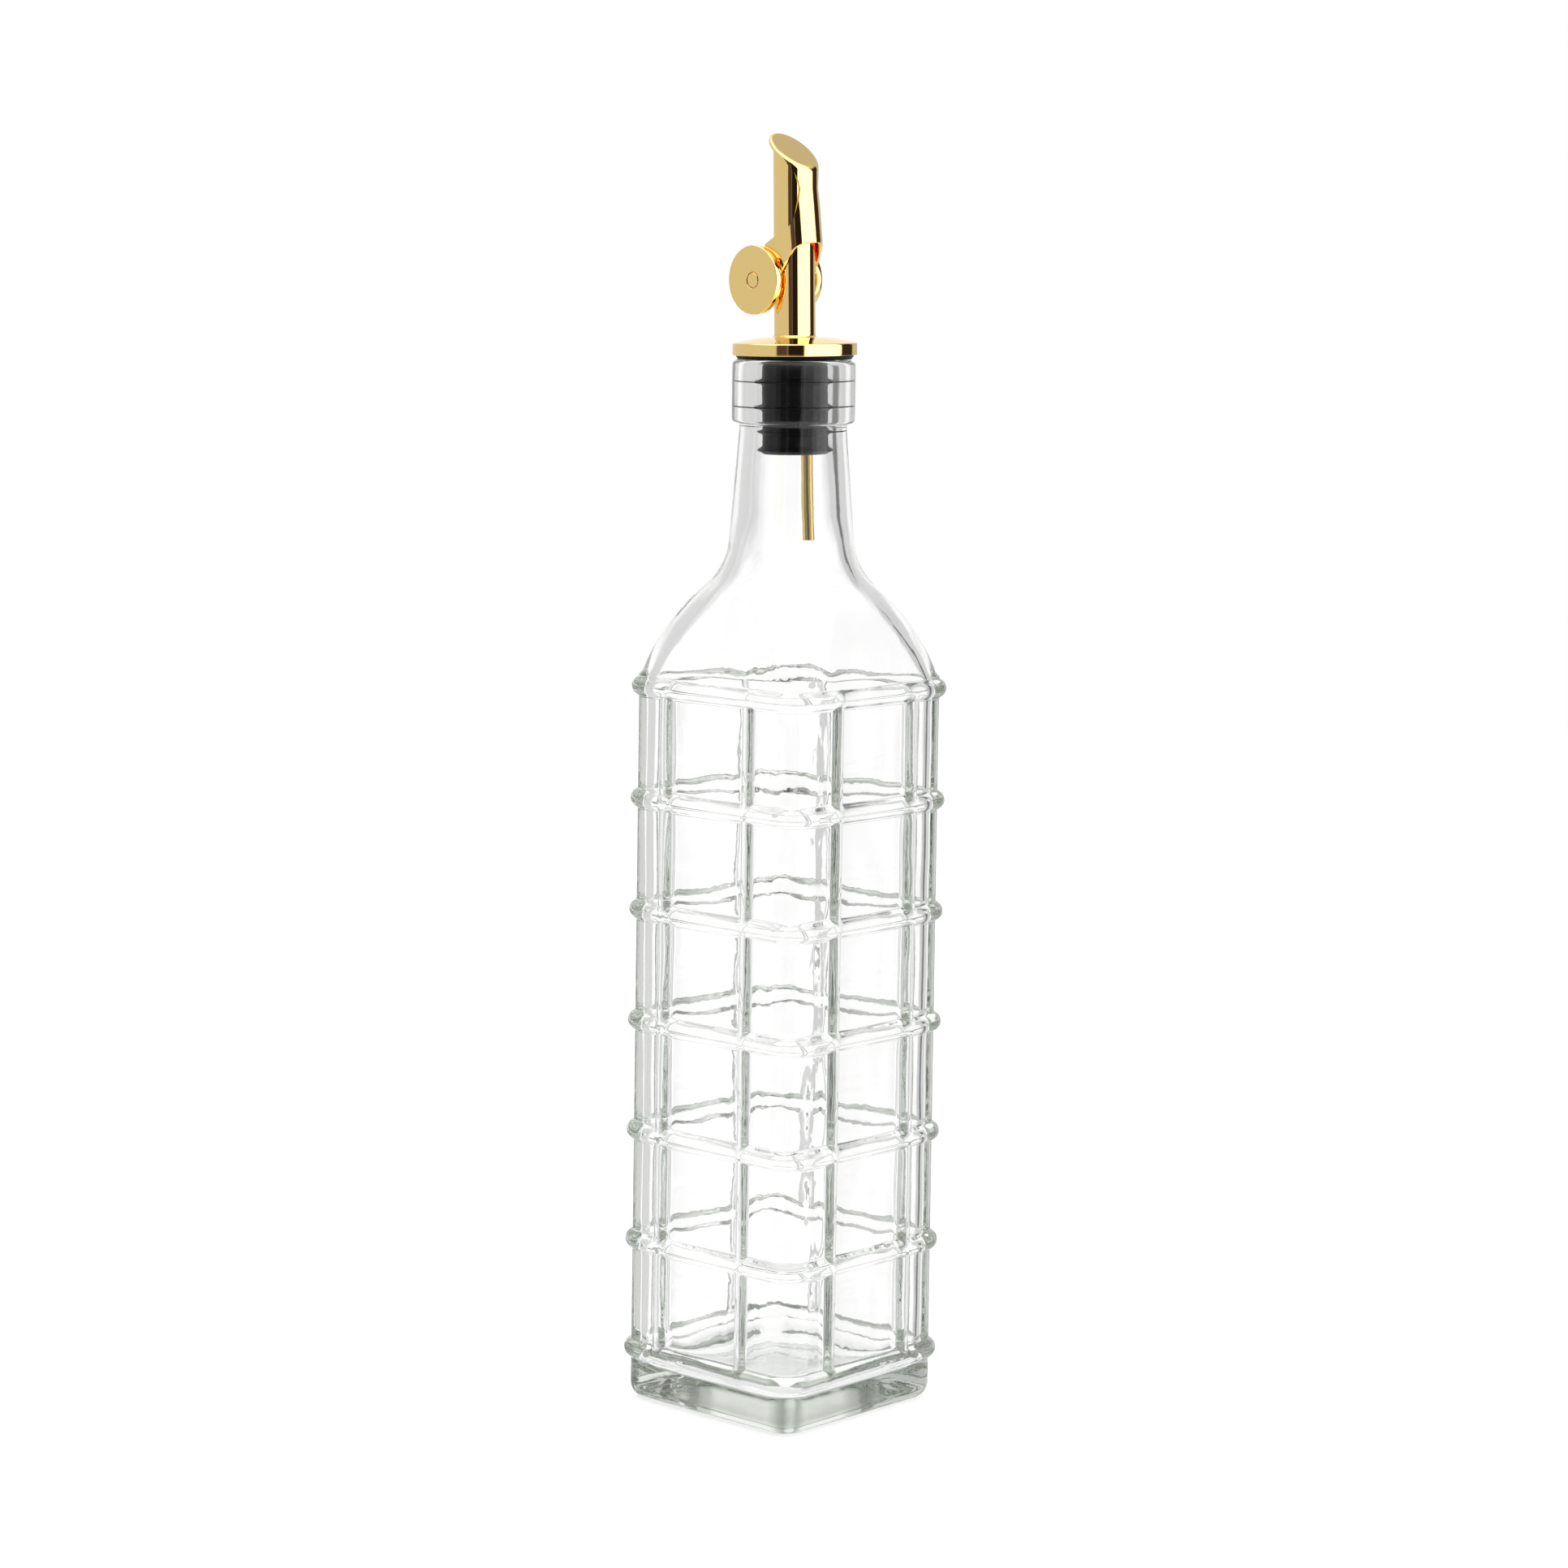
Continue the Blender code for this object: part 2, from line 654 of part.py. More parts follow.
def weight_disc(name, side, finish, parent):
    """One counterweight: a thick disc with eased edges, bored for the rod."""
    thick, ease = WEIGHT_THICKNESS, WEIGHT_EDGE
    bore = ROD_HEAD_RADIUS + ROD_PLAY
    outline = [
        (bore, 0.0),
        (WEIGHT_RADIUS - ease, 0.0),
        (WEIGHT_RADIUS, ease),
        (WEIGHT_RADIUS, thick - ease),
        (WEIGHT_RADIUS - ease, thick),
        (bore, thick),
    ]
    disc = turned(name, outline, finish, parent)
    disc.rotation_euler = (-side * math.pi / 2, 0, 0)
    disc.location = (-WEIGHT_FORWARD, side * (WEIGHT_OUTER_FACE - thick), -WEIGHT_DROP)
    return disc


def weight_rod(finish, parent):
    """The rod through the ears, with heads that fill the discs' bores flush with their faces."""
    half, shoulder = WEIGHT_OUTER_FACE, WEIGHT_OUTER_FACE - WEIGHT_THICKNESS
    steps = ((ROD_HEAD_RADIUS, -half), (ROD_HEAD_RADIUS, -shoulder), (ROD_RADIUS, -shoulder))
    mirrored = tuple((radius, -z) for radius, z in reversed(steps))
    form = loft([ring_of(radius, z, SMALL_SEGMENTS) for radius, z in steps + mirrored])
    rod = mesh_object("weight_rod", form, finish, parent)
    rod.rotation_euler = (math.pi / 2, 0, 0)
    rod.location = (-WEIGHT_FORWARD, 0, -WEIGHT_DROP)
    return rod


def main():
    """Builds every piece in its place."""
    for old in list(bpy.data.objects):
        bpy.data.objects.remove(old)
    glass = material("clear glass", (0.90, 0.93, 0.90), 0.03, transmission=1.0)
    gold = material("gold-plated steel", (0.83, 0.62, 0.26), 0.18, metallic=1.0)
    rubber = material("black rubber", (0.02, 0.02, 0.02), 0.55)
    glass_bottle(glass)
    pourer = pourer_frame()
    rubber_stopper(rubber, pourer)
    metal_flange(gold, pourer)
    spout_tube(gold, pourer)
    air_tube(gold, pourer)
    hinge = empty_at("flap_hinge", (HINGE_BACK, 0, HINGE_HEIGHT), pourer)
    sheet_flap(gold, hinge)
    weight_disc("weight_near", -1, gold, hinge)
    weight_disc("weight_far", 1, gold, hinge)
    weight_rod(gold, hinge)


main()
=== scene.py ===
"""Looks of a square ribbed glass oil bottle, with a rubber stopper and a gold-plated pourer.

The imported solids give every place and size. This script stands finer pieces where they are and
gives each one the surface of its real material. Units are metres and +Z is up.
"""

from __future__ import annotations

import json
import logging
import math
from dataclasses import dataclass
from enum import Enum
from typing import ClassVar

import bmesh
import bpy
from mathutils import Matrix, Vector, noise


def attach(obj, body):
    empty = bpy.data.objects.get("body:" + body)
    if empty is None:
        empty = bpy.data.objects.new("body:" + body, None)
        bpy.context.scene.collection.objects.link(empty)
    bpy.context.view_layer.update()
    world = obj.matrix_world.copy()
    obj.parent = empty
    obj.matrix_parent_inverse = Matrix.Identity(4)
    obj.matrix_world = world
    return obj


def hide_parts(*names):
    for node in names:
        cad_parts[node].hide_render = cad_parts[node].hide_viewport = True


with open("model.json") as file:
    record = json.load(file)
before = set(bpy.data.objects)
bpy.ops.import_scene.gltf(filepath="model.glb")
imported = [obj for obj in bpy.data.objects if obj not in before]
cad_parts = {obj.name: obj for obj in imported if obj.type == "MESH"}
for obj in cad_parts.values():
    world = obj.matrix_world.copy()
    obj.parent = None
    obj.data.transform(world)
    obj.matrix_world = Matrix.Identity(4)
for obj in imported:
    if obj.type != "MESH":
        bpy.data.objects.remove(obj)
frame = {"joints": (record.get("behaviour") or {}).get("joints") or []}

LOG = logging.getLogger("oil_bottle")
MM = 0.001
WHITE = (1.0, 1.0, 1.0, 1.0)
SMOOTH_ANGLE = math.radians(35)

Outline = list[tuple[float, float]]
Rows = list[tuple[float, float, float]]
Socket = bpy.types.NodeSocket
Tree = bpy.types.NodeTree


class Body(Enum):
    """The two bodies that move against each other."""

    BOTTLE = "bottle_and_pourer"
    FLAP = "flap"


class Slot(Enum):
    """The record's material slots."""

    GLASS = "clear_glass"
    GOLD = "gold_plated_steel"
    RUBBER = "black_rubber"


def linear(hex_colour: str) -> tuple[float, float, float, float]:
    """Turns an sRGB hex colour to linear values with an alpha of 1.

    Args:
        hex_colour: Six hex digits, such as "D7BB74".

    Returns:
        Red, green, blue and alpha, each from 0 to 1.
    """
    parts = [int(hex_colour[i : i + 2], 16) / 255 for i in (0, 2, 4)]
    bent = [p / 12.92 if p <= 0.04045 else ((p + 0.055) / 1.055) ** 2.4 for p in parts]
    return (*bent, 1.0)


def add_node(
    tree: Tree, kind: str, settings: dict[str, object] | None = None, **inputs: object
) -> bpy.types.Node:
    """Adds a node with its settings, and values or links for its inputs.

    Args:
        tree: The node tree of a material or the world.
        kind: The node's type, such as "ShaderNodeMath".
        settings: The node's own properties.
        inputs: Values or output sockets by input name, with _ for a space, or in0, in1 by number.

    Returns:
        The new node.
    """
    node = tree.nodes.new(kind)
    for key, value in (settings or {}).items():
        setattr(node, key, value)
    for key, value in inputs.items():
        plug = node.inputs[int(key[2:])] if key[:2] == "in" and key[2:].isdigit() else None
        plug = plug or node.inputs[key.replace("_", " ")]
        if isinstance(value, Socket):
            tree.links.new(value, plug)
        else:
            plug.default_value = value
    return node


def new_material(name: str, **inputs: object) -> tuple[bpy.types.Material, bpy.types.Node]:
    """Makes a node material and sets what is the same all over its surface.

    Args:
        name: The material's name.
        inputs: Values for the shader's own inputs by name, with _ for a space.

    Returns:
        The material and its Principled shader.
    """
    made = bpy.data.materials.new(name)
    made.use_nodes = True
    shader = made.node_tree.nodes["Principled BSDF"]
    for key, value in inputs.items():
        shader.inputs[key.replace("_", " ")].default_value = value
    return made, shader


def uneven_skin(
    shader: bpy.types.Node,
    size_mm: float,
    detail: float = 2.0,
    roughness: tuple[float, float] | None = None,
    depth_mm: float = 0.0,
) -> None:
    """Lays a soft unevenness over a surface, in its roughness, as a low relief or both.

    Args:
        shader: The material's shader.
        size_mm: The pattern's size on the real piece.
        detail: How many finer layers the pattern has.
        roughness: The roughness at the pattern's lowest and highest places, or None.
        depth_mm: The relief's depth, or 0 for none.
    """
    tree = shader.id_data
    place = add_node(tree, "ShaderNodeTexCoord").outputs["Object"]
    scale = 1 / (size_mm * MM)
    pattern = add_node(tree, "ShaderNodeTexNoise", Vector=place, Scale=scale, Detail=detail)
    height = pattern.outputs["Fac"]
    if roughness:
        low, high = roughness
        spread = add_node(tree, "ShaderNodeMapRange", Value=height, To_Min=low, To_Max=high)
        tree.links.new(spread.outputs["Result"], shader.inputs["Roughness"])
    if depth_mm:
        depth = depth_mm * MM
        bump = add_node(tree, "ShaderNodeBump", Height=height, Strength=1.0, Distance=depth)
        tree.links.new(bump.outputs["Normal"], shader.inputs["Normal"])


@dataclass(frozen=True)
class ClearGlass:
    """Soda-lime flint glass, blown into a mould: clear and smooth, grey-green where it is thick.

    The tint and the absorption give the depth, per metre. The ripple is the skin that the cooling
    glass keeps from the mould, and the stipple is the grain of the mould's bottom plate, on the
    push-up under the base.
    """

    ior: float = 1.52
    tint: str = "DAE0D7"
    absorption: float = 16.0
    ripple_mm: float = 2.6
    ripple_depth_mm: float = 0.016
    stipple: float = 0.26
    stipple_half: float = 0.0206
    stipple_z: float = 0.0016

    def underside(self, tree: Tree) -> Socket:
        """The stippled roughness of the push-up under the base, and none elsewhere.

        Args:
            tree: The glass's node tree.

        Returns:
            The roughness.
        """
        place = add_node(tree, "ShaderNodeTexCoord").outputs["Object"]
        parts = add_node(tree, "ShaderNodeSeparateXYZ", Vector=place).outputs
        reach = [
            add_node(tree, "ShaderNodeMath", {"operation": "ABSOLUTE"}, in0=parts[axis]).outputs[0]
            for axis in ("X", "Y")
        ]
        most = {"operation": "MAXIMUM"}
        less = {"operation": "LESS_THAN"}
        half = add_node(tree, "ShaderNodeMath", most, in0=reach[0], in1=reach[1]).outputs[0]
        inside = add_node(tree, "ShaderNodeMath", less, in0=half, in1=self.stipple_half).outputs[0]
        low = add_node(tree, "ShaderNodeMath", less, in0=parts["Z"], in1=self.stipple_z).outputs[0]
        both = {"operation": "MULTIPLY"}
        mask = add_node(tree, "ShaderNodeMath", both, in0=inside, in1=low).outputs[0]
        return add_node(tree, "ShaderNodeMath", both, in0=mask, in1=self.stipple).outputs[0]

    def material(self) -> bpy.types.Material:
        """Gives the glass its faintly rippled skin, its stippled underside and its depth of tint.

        Returns:
            The material.
        """
        made, shader = new_material(
            "flint_glass_blow_moulded", Base_Color=WHITE, IOR=self.ior, Transmission_Weight=1.0
        )
        tree = made.node_tree
        tint = linear(self.tint)
        kind = "ShaderNodeVolumeAbsorption"
        inside = add_node(tree, kind, Color=tint, Density=self.absorption)
        tree.links.new(inside.outputs[0], tree.nodes["Material Output"].inputs["Volume"])
        tree.links.new(self.underside(tree), shader.inputs["Roughness"])
        uneven_skin(shader, self.ripple_mm, detail=1.0, depth_mm=self.ripple_depth_mm)
        return made


@dataclass(frozen=True)
class GoldPlate:
    """Gold plating on pressed and polished steel: a warm mirror with a faint uneven haze.

    The haze changes over a few millimetres, as hand polishing leaves it.
    """

    colour: str = "F9D98F"
    roughness: float = 0.05
    uneven: float = 0.1
    haze_mm: float = 5.0

    def material(self) -> bpy.types.Material:
        """Gives the plating its mirror and its slight uneven haze.

        Returns:
            The material.
        """
        colour = linear(self.colour)
        made, shader = new_material("gold_plate_polished", Base_Color=colour, Metallic=1.0)
        spread = (self.roughness * (1 - self.uneven), self.roughness * (1 + self.uneven))
        uneven_skin(shader, self.haze_mm, roughness=spread)
        return made


@dataclass(frozen=True)
class MouldedRubber:
    """Black nitrile rubber, compression-moulded: satin, with a soft broad highlight.

    Its real grain is too fine to show in the render, so it is drawn at a third of a millimetre.
    """

    colour: str = "0B0A0A"
    roughness: float = 0.42
    shine: float = 0.10
    grain_mm: float = 0.35
    grain_depth_mm: float = 0.004
    least: float = 0.8
    most: float = 1.25

    def material(self) -> bpy.types.Material:
        """Gives the rubber its satin skin and its fine grain.

        Returns:
            The material.
        """
        colour = linear(self.colour)
        made, shader = new_material(
            "nitrile_rubber_moulded", Base_Color=colour, Specular_IOR_Level=self.shine
        )
        spread = (self.roughness * self.least, self.roughness * self.most)
        uneven_skin(shader, self.grain_mm, roughness=spread, depth_mm=self.grain_depth_mm)
        return made


def finished_object(
    name: str, mesh: bpy.types.Mesh, finish: bpy.types.Material
) -> bpy.types.Object:
    """Links a mesh into the scene, smooth over its rounds and sharp at its edges.

    Args:
        name: The piece's name.
        mesh: Its mesh, in its own frame.
        finish: Its material.

    Returns:
        The new object.
    """
    mesh.shade_smooth()
    mesh.set_sharp_from_angle(angle=SMOOTH_ANGLE)
    mesh.materials.append(finish)
    made = bpy.data.objects.new(name, mesh)
    bpy.context.scene.collection.objects.link(made)
    return made


def lofted(name: str, rows: list[list[Vector]], closed: bool = False) -> bpy.types.Mesh:
    """A mesh through rows of equally many points, its faces pointing out.

    Args:
        name: The mesh's name.
        rows: The rows, each a loop of points.
        closed: True joins the last row to the first, and False caps both ends.

    Returns:
        The mesh.
    """
    count = len(rows[0])
    points = [point for row in rows for point in row]
    pairs = [(i, i + 1) for i in range(len(rows) - 1)]
    if closed:
        pairs.append((len(rows) - 1, 0))
    faces = []
    for low, high in pairs:
        for i in range(count):
            j = (i + 1) % count
            faces.append((low * count + i, low * count + j, high * count + j, high * count + i))
    if not closed:
        last = (len(rows) - 1) * count
        faces.append(tuple(reversed(range(count))))
        faces.append(tuple(range(last, last + count)))
    mesh = bpy.data.meshes.new(name)
    mesh.from_pydata(points, [], faces)
    form = bmesh.new()
    form.from_mesh(mesh)
    bmesh.ops.recalc_face_normals(form, faces=form.faces)
    form.to_mesh(mesh)
    form.free()
    return mesh


def level_ring(radius: float, z: float, count: int) -> list[Vector]:
    """Points of a level circle about Z."""
    steps = [2 * math.pi * i / count for i in range(count)]
    return [Vector((radius * math.cos(a), radius * math.sin(a), z)) for a in steps]


def turned(
    name: str, outline: Outline, finish: bpy.types.Material, count: int = 128
) -> bpy.types.Object:
    """A ring-shaped piece turned about Z.

    Args:
        name: The piece's name.
        outline: Its closed outline, as (radius, height).
        finish: Its material.
        count: How many steps go round.

    Returns:
        The new object.
    """
    rows = [level_ring(radius, z, count) for radius, z in outline]
    return finished_object(name, lofted(name, rows, closed=True), finish)


def arc(
    centre: tuple[float, float], radius: float, begin: float, end: float, count: int
) -> Outline:
    """Points of an arc in the plane.

    Args:
        centre: The arc's middle.
        radius: Its radius.
        begin: Its first angle, in degrees.
        end: Its last angle, in degrees.
        count: How many steps it takes.

    Returns:
        The points, both ends included.
    """
    angles = [math.radians(begin + (end - begin) * i / count) for i in range(count + 1)]
    return [(centre[0] + radius * math.cos(a), centre[1] + radius * math.sin(a)) for a in angles]


def smooth_curve(points: Outline, steps: int) -> list[Vector]:
    """A Catmull-Rom curve through points in the plane.

    Args:
        points: The points that it passes.
        steps: How many steps lie between two of them.

    Returns:
        The curve's points, both ends included.
    """
    ends = [2 * Vector(points[0]) - Vector(points[1])]
    tail = [2 * Vector(points[-1]) - Vector(points[-2])]
    knots = ends + [Vector(p) for p in points] + tail
    found = []
    for a, b, c, d in zip(knots, knots[1:], knots[2:], knots[3:]):
        for step in range(steps):
            t = step / steps
            found.append(
                0.5 * (2 * b + (c - a) * t + (2 * a - 5 * b + 4 * c - d) * t**2)
                + 0.5 * (3 * b - a - 3 * c + d) * t**3
            )
    return found + [knots[-2]]


def cut(target: bpy.types.Object, tool: bpy.types.Object, operation: str) -> None:
    """Applies one exact Boolean to target and removes the tool.

    Args:
        target: The object that changes.
        tool: The object that cuts, joins or keeps.
        operation: "DIFFERENCE", "UNION" or "INTERSECT".
    """
    modifier = target.modifiers.new("cut", "BOOLEAN")
    modifier.operation = operation
    modifier.solver = "EXACT"
    modifier.object = tool
    graph = bpy.context.evaluated_depsgraph_get()
    mesh = bpy.data.meshes.new_from_object(target.evaluated_get(graph))
    target.modifiers.clear()
    target.data = mesh
    bpy.data.objects.remove(tool)


def ride(piece: bpy.types.Object, place: Matrix, body: Body, node: str) -> None:
    """Moves a finished piece to its place and puts it on its body, for its solid.

    Args:
        piece: The piece, in its own frame.
        place: That frame's place in the part.
        body: The body that carries it.
        node: The solid that it stands for.
    """
    piece.data.transform(place)
    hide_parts(node)
    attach(piece, body.value)
    LOG.info("%s rides on %s, %d faces", piece.name, body.value, len(piece.data.polygons))


@dataclass
class Bead:
    """A raised half-round bead on a panel, with a hollow fillet at each foot."""

    lift: float
    tube: float
    fillet: float

    def centre_of_fillet(self) -> float:
        """How far the fillet's centre lies from the bead's middle."""
        sunk = self.tube - self.lift
        return math.sqrt((self.tube + self.fillet) ** 2 - (sunk + self.fillet) ** 2)

    def height(self, across: float) -> float:
        """The bead's height over the panel.

        Args:
            across: The distance from the bead's middle.

        Returns:
            The height.
        """
        across = abs(across)
        sunk = self.tube - self.lift
        foot = self.centre_of_fillet()
        touch = foot * self.tube / (self.tube + self.fillet)
        if across <= touch:
            return math.sqrt(self.tube**2 - across**2) - sunk
        if across < foot:
            return self.fillet - math.sqrt(self.fillet**2 - (foot - across) ** 2)
        return 0.0

    def steps(self, on_tube: int, on_fillet: int) -> list[float]:
        """Distances from the bead's middle, close together where it curves.

        Args:
            on_tube: How many steps cross the round.
            on_fillet: How many steps each fillet takes.

        Returns:
            The distances from one foot to the other.
        """
        foot = self.centre_of_fillet()
        touch = foot * self.tube / (self.tube + self.fillet)
        reach = math.asin(touch / self.tube)
        round_part = [
            self.tube * math.sin(reach * (2 * i / on_tube - 1)) for i in range(on_tube + 1)
        ]
        rise = [touch + (foot - touch) * (i + 1) / on_fillet for i in range(on_fillet)]
        return [-x for x in reversed(rise)] + round_part + rise


@dataclass
class GlassBottle:
    """The bottle: square and ribbed below, round at the neck, with a thick base and a heavy lip."""

    half: float = 0.0282
    flare: float = 0.0003
    corner: float = 0.0068
    heel: float = 0.0040
    wall: float = 0.0030
    floor: float = 0.0080
    floor_dome: float = 0.0012
    push_up: float = 0.0015
    bearing_half: float = 0.0205
    ring_count: int = 7
    first_ring_z: float = 0.0130
    ring_step: float = 0.02783
    rib_offset: float = 0.0137
    rib_shift: float = -0.0011
    shifted_face: int = 3
    shoulder_radius: float = 0.0489
    shoulder_centre_z: float = 0.1669
    shoulder_step: float = 0.0003
    bend_z: float = 0.2045
    neck_fillet: float = 0.0172
    neck_lean: float = math.radians(3.8)
    neck_top: float = 0.0133
    lip_bottom_z: float = 0.2448
    lip_top_z: float = 0.2602
    lip_radius: float = 0.0151
    mouth: float = 0.0097
    lower_bore: float = 0.0109
    lower_bore_z: float = 0.2220
    crossing_blend: float = 0.0006
    wave_height: float = 0.00030
    wave_length: float = 0.012
    wave_upright: float = 0.6
    wavelet_share: float = 0.3
    wavelet_finer: float = 2.7
    calm_length: float = 0.03
    ring_echo: float = 0.10
    ring_echo_reach: float = 0.0032
    rib_echo: float = 0.30
    rib_echo_reach: float = 0.0028

    wavelet_offset: ClassVar[tuple[float, float, float]] = (7, 3, 1)
    floor_shares: ClassVar[tuple[float, ...]] = (0.68, 0.58, 0.48, 0.38, 0.28, 0.18, 0.08)

    def __post_init__(self) -> None:
        """Sets out the two kinds of bead."""
        self.ring = Bead(lift=0.0018, tube=0.0024, fillet=0.0008)
        self.rib = Bead(lift=0.0014, tube=0.00186, fillet=0.0006)

    def last_ring_z(self) -> float:
        """Height of the top ring's middle."""
        return self.first_ring_z + (self.ring_count - 1) * self.ring_step

    def panel_half(self, z: float) -> float:
        """Half side of the panels, which widen a little towards the base."""
        return self.half + self.flare * max(1 - z / self.last_ring_z(), 0)

    def face_stations(self, shift: float) -> Outline:
        """Places over one face.

        Args:
            shift: How far this face's ribs stand to one side.

        Returns:
            Polar angles, each with the distance to the nearer rib's middle.
        """
        foot = self.rib.centre_of_fillet()
        flat = self.half - self.corner
        low, high = shift - self.rib_offset, shift + self.rib_offset
        gaps = ((-flat, low - foot, 3), (low + foot, high - foot, 8), (high + foot, flat, 3))
        offsets = []
        for begin, end, count in gaps:
            offsets += [begin + (end - begin) * i / count for i in range(1, count)]
        for middle in (low, high):
            offsets += [middle + step for step in self.rib.steps(8, 2)]
        return [
            (math.atan2(y, self.half), min(abs(y - low), abs(y - high))) for y in sorted(offsets)
        ]

    def stations(self) -> Outline:
        """Places all round the bottle.

        Returns:
            Polar angles, each with the distance to the nearest rib's middle.
        """
        flat, steps = self.half - self.corner, 8
        corner = []
        for i in range(steps + 1):
            turn = i / steps * math.pi / 4
            x = flat + self.corner * math.cos(turn)
            y = flat + self.corner * math.sin(turn)
            corner.append((math.atan2(y, x), self.half))
        mirrored = [(-angle, across) for angle, across in reversed(corner[:-1])]
        found = []
        for face in range(4):
            shift = self.rib_shift if face == self.shifted_face else 0.0
            for angle, across in mirrored + self.face_stations(shift) + corner:
                found.append((face * math.pi / 2 + angle, across))
        return found

    @staticmethod
    def section_point(half: float, corner: float, angle: float) -> tuple[Vector, Vector]:
        """A point on a rounded square and its outward direction.

        Args:
            half: Half the square's side.
            corner: Its corners' radius.
            angle: The polar angle from +X.

        Returns:
            The point and the direction, both in the plane.
        """
        quarter = round(angle / (math.pi / 2))
        local = angle - quarter * math.pi / 2
        ray = Vector((math.cos(local), math.sin(local)))
        flat = half - corner
        if abs(math.tan(local)) * half <= flat:
            point = Vector((half, half * math.tan(local)))
            outward = Vector((1.0, 0.0))
        else:
            centre = Vector((flat, math.copysign(flat, local)))
            along = centre.dot(ray)
            inside = max(along**2 - centre.length_squared + corner**2, 0)
            point = ray * (along + math.sqrt(inside))
            outward = (point - centre).normalized()
        turn = Matrix.Rotation(quarter * math.pi / 2, 2)
        return turn @ point, turn @ outward

    def corner_reach(self, half: float, corner: float) -> float:
        """How far a rounded square reaches from its middle, across its corner."""
        return (half - corner) * math.sqrt(2) + corner

    def shoulder_reach(self, z: float) -> float:
        """Outer reach across the corners on the shoulder, an arc that turns into the neck's fillet.

        Args:
            z: The height.

        Returns:
            The reach.
        """
        radius, centre_z = self.shoulder_radius, self.shoulder_centre_z
        start = math.sqrt(radius**2 - (self.last_ring_z() - centre_z) ** 2)
        shift = self.corner_reach(self.half, self.corner) + self.shoulder_step - start
        if z <= self.bend_z:
            return shift + math.sqrt(radius**2 - (z - centre_z) ** 2)
        tilt = math.asin((self.bend_z - centre_z) / radius)
        middle_z = self.bend_z + self.neck_fillet * math.sin(tilt)
        middle = shift + (radius + self.neck_fillet) * math.cos(tilt)
        return middle - math.sqrt(self.neck_fillet**2 - (z - middle_z) ** 2)

    def fillet_top_z(self) -> float:
        """Height where the shoulder's fillet meets the leaning neck."""
        tilt = math.asin((self.bend_z - self.shoulder_centre_z) / self.shoulder_radius)
        return self.bend_z + self.neck_fillet * (math.sin(tilt) - math.sin(self.neck_lean))

    @staticmethod
    def rounded_section(
        reach: float, least: float, most: float, half_share: float
    ) -> tuple[float, float]:
        """A section that turns from a circle, at its least reach, to the body's rounded square.

        Args:
            reach: Its reach across the corners.
            least: The reach of the circle.
            most: The reach of the body.
            half_share: The body's half side as a share of its reach.

        Returns:
            The section's half side and its corner radius.
        """
        squareness = max(min((reach - least) / (most - least), 1.0), 0.0)
        half = reach * (1 - (1 - half_share) * squareness)
        corner = (math.sqrt(2) * half - reach) / (math.sqrt(2) - 1)
        return half, min(corner, half)

    def body_heights(self) -> list[float]:
        """Heights of the body's rows, close together on the rings.

        Returns:
            The heights, from the lowest ring's foot upwards.
        """
        heights = []
        foot = self.ring.centre_of_fillet()
        for ring in range(self.ring_count):
            centre = self.first_ring_z + ring * self.ring_step
            heights += [centre + step for step in self.ring.steps(10, 3)]
            if ring < self.ring_count - 1:
                gap = self.ring_step - 2 * foot
                heights += [centre + foot + gap * share for share in (0.12, 0.37, 0.63, 0.88)]
        return heights

    def lip_outline(self) -> Outline:
        """The heavy lip from the neck's top to the mouth: a groove, a straight band, a round top.

        Returns:
            Its outline, as (radius, height).
        """
        low, high, radius = self.lip_bottom_z, self.lip_top_z, self.lip_radius
        groove, pinch, under, belly, top = 0.0008, 0.0001, 0.0010, 0.00005, 0.0014
        waist = self.neck_top - pinch
        outline = [(self.neck_top, low - 0.0030), (waist, low - 2 * groove)]
        outline += arc((waist + groove, low - groove), groove, 180, 90, 5)
        outline += arc((radius - under, low + under), under, -90, 0, 6)
        outline += [(radius + belly, low + 0.0045), (radius + belly, high - 0.0040)]
        outline += arc((radius - top, high - top), top, 0, 80, 8)
        return outline

    def outer_rows(self) -> Rows:
        """Rows of the outside, from the push-up under the base to the lip.

        Returns:
            Each row's height, half side and corner radius.
        """
        dome_steps, bearing_corner, roundness, above_heel = 14, 0.0044, 0.3, 0.0070
        rows = []
        for step in range(1, dome_steps + 1):
            share = math.sin(step / dome_steps * math.pi / 2)
            corner = bearing_corner + roundness * self.bearing_half * (1 - share) * share
            half = self.bearing_half * share
            rows.append((self.push_up * (1 - share**2), half, min(corner, half)))
        heel_steps = 8
        for step in range(heel_steps + 1):
            angle = step / heel_steps * math.pi / 2
            inset = self.heel * (1 - math.sin(angle))
            z = self.heel * (1 - math.cos(angle))
            rows.append((z, self.panel_half(z) - inset, self.corner - inset))
        rows.append((above_heel, self.panel_half(above_heel), self.corner))
        for z in self.body_heights():
            rows.append((z, self.panel_half(z), self.corner))
        body_reach = self.corner_reach(self.half, self.corner)
        top = self.fillet_top_z()
        neck_reach = self.shoulder_reach(top)
        start = rows[-1][0]
        low_steps, high_steps = 22, 14
        heights = [start + (self.bend_z - start) * (i + 1) / low_steps for i in range(low_steps)]
        heights += [
            self.bend_z + (top - self.bend_z) * (i + 1) / high_steps for i in range(high_steps)
        ]
        for z in heights:
            reach = self.shoulder_reach(z)
            rows.append(
                (z, *self.rounded_section(reach, neck_reach, body_reach, self.half / body_reach))
            )
        outline = self.lip_outline()
        first_radius, first_z = outline[0]
        neck_steps = 6
        for i in range(1, neck_steps):
            share = i / neck_steps
            radius = neck_reach + (first_radius - neck_reach) * share
            rows.append((top + (first_z - top) * share, radius, radius))
        rows += [(z, radius, radius) for radius, z in outline]
        return rows

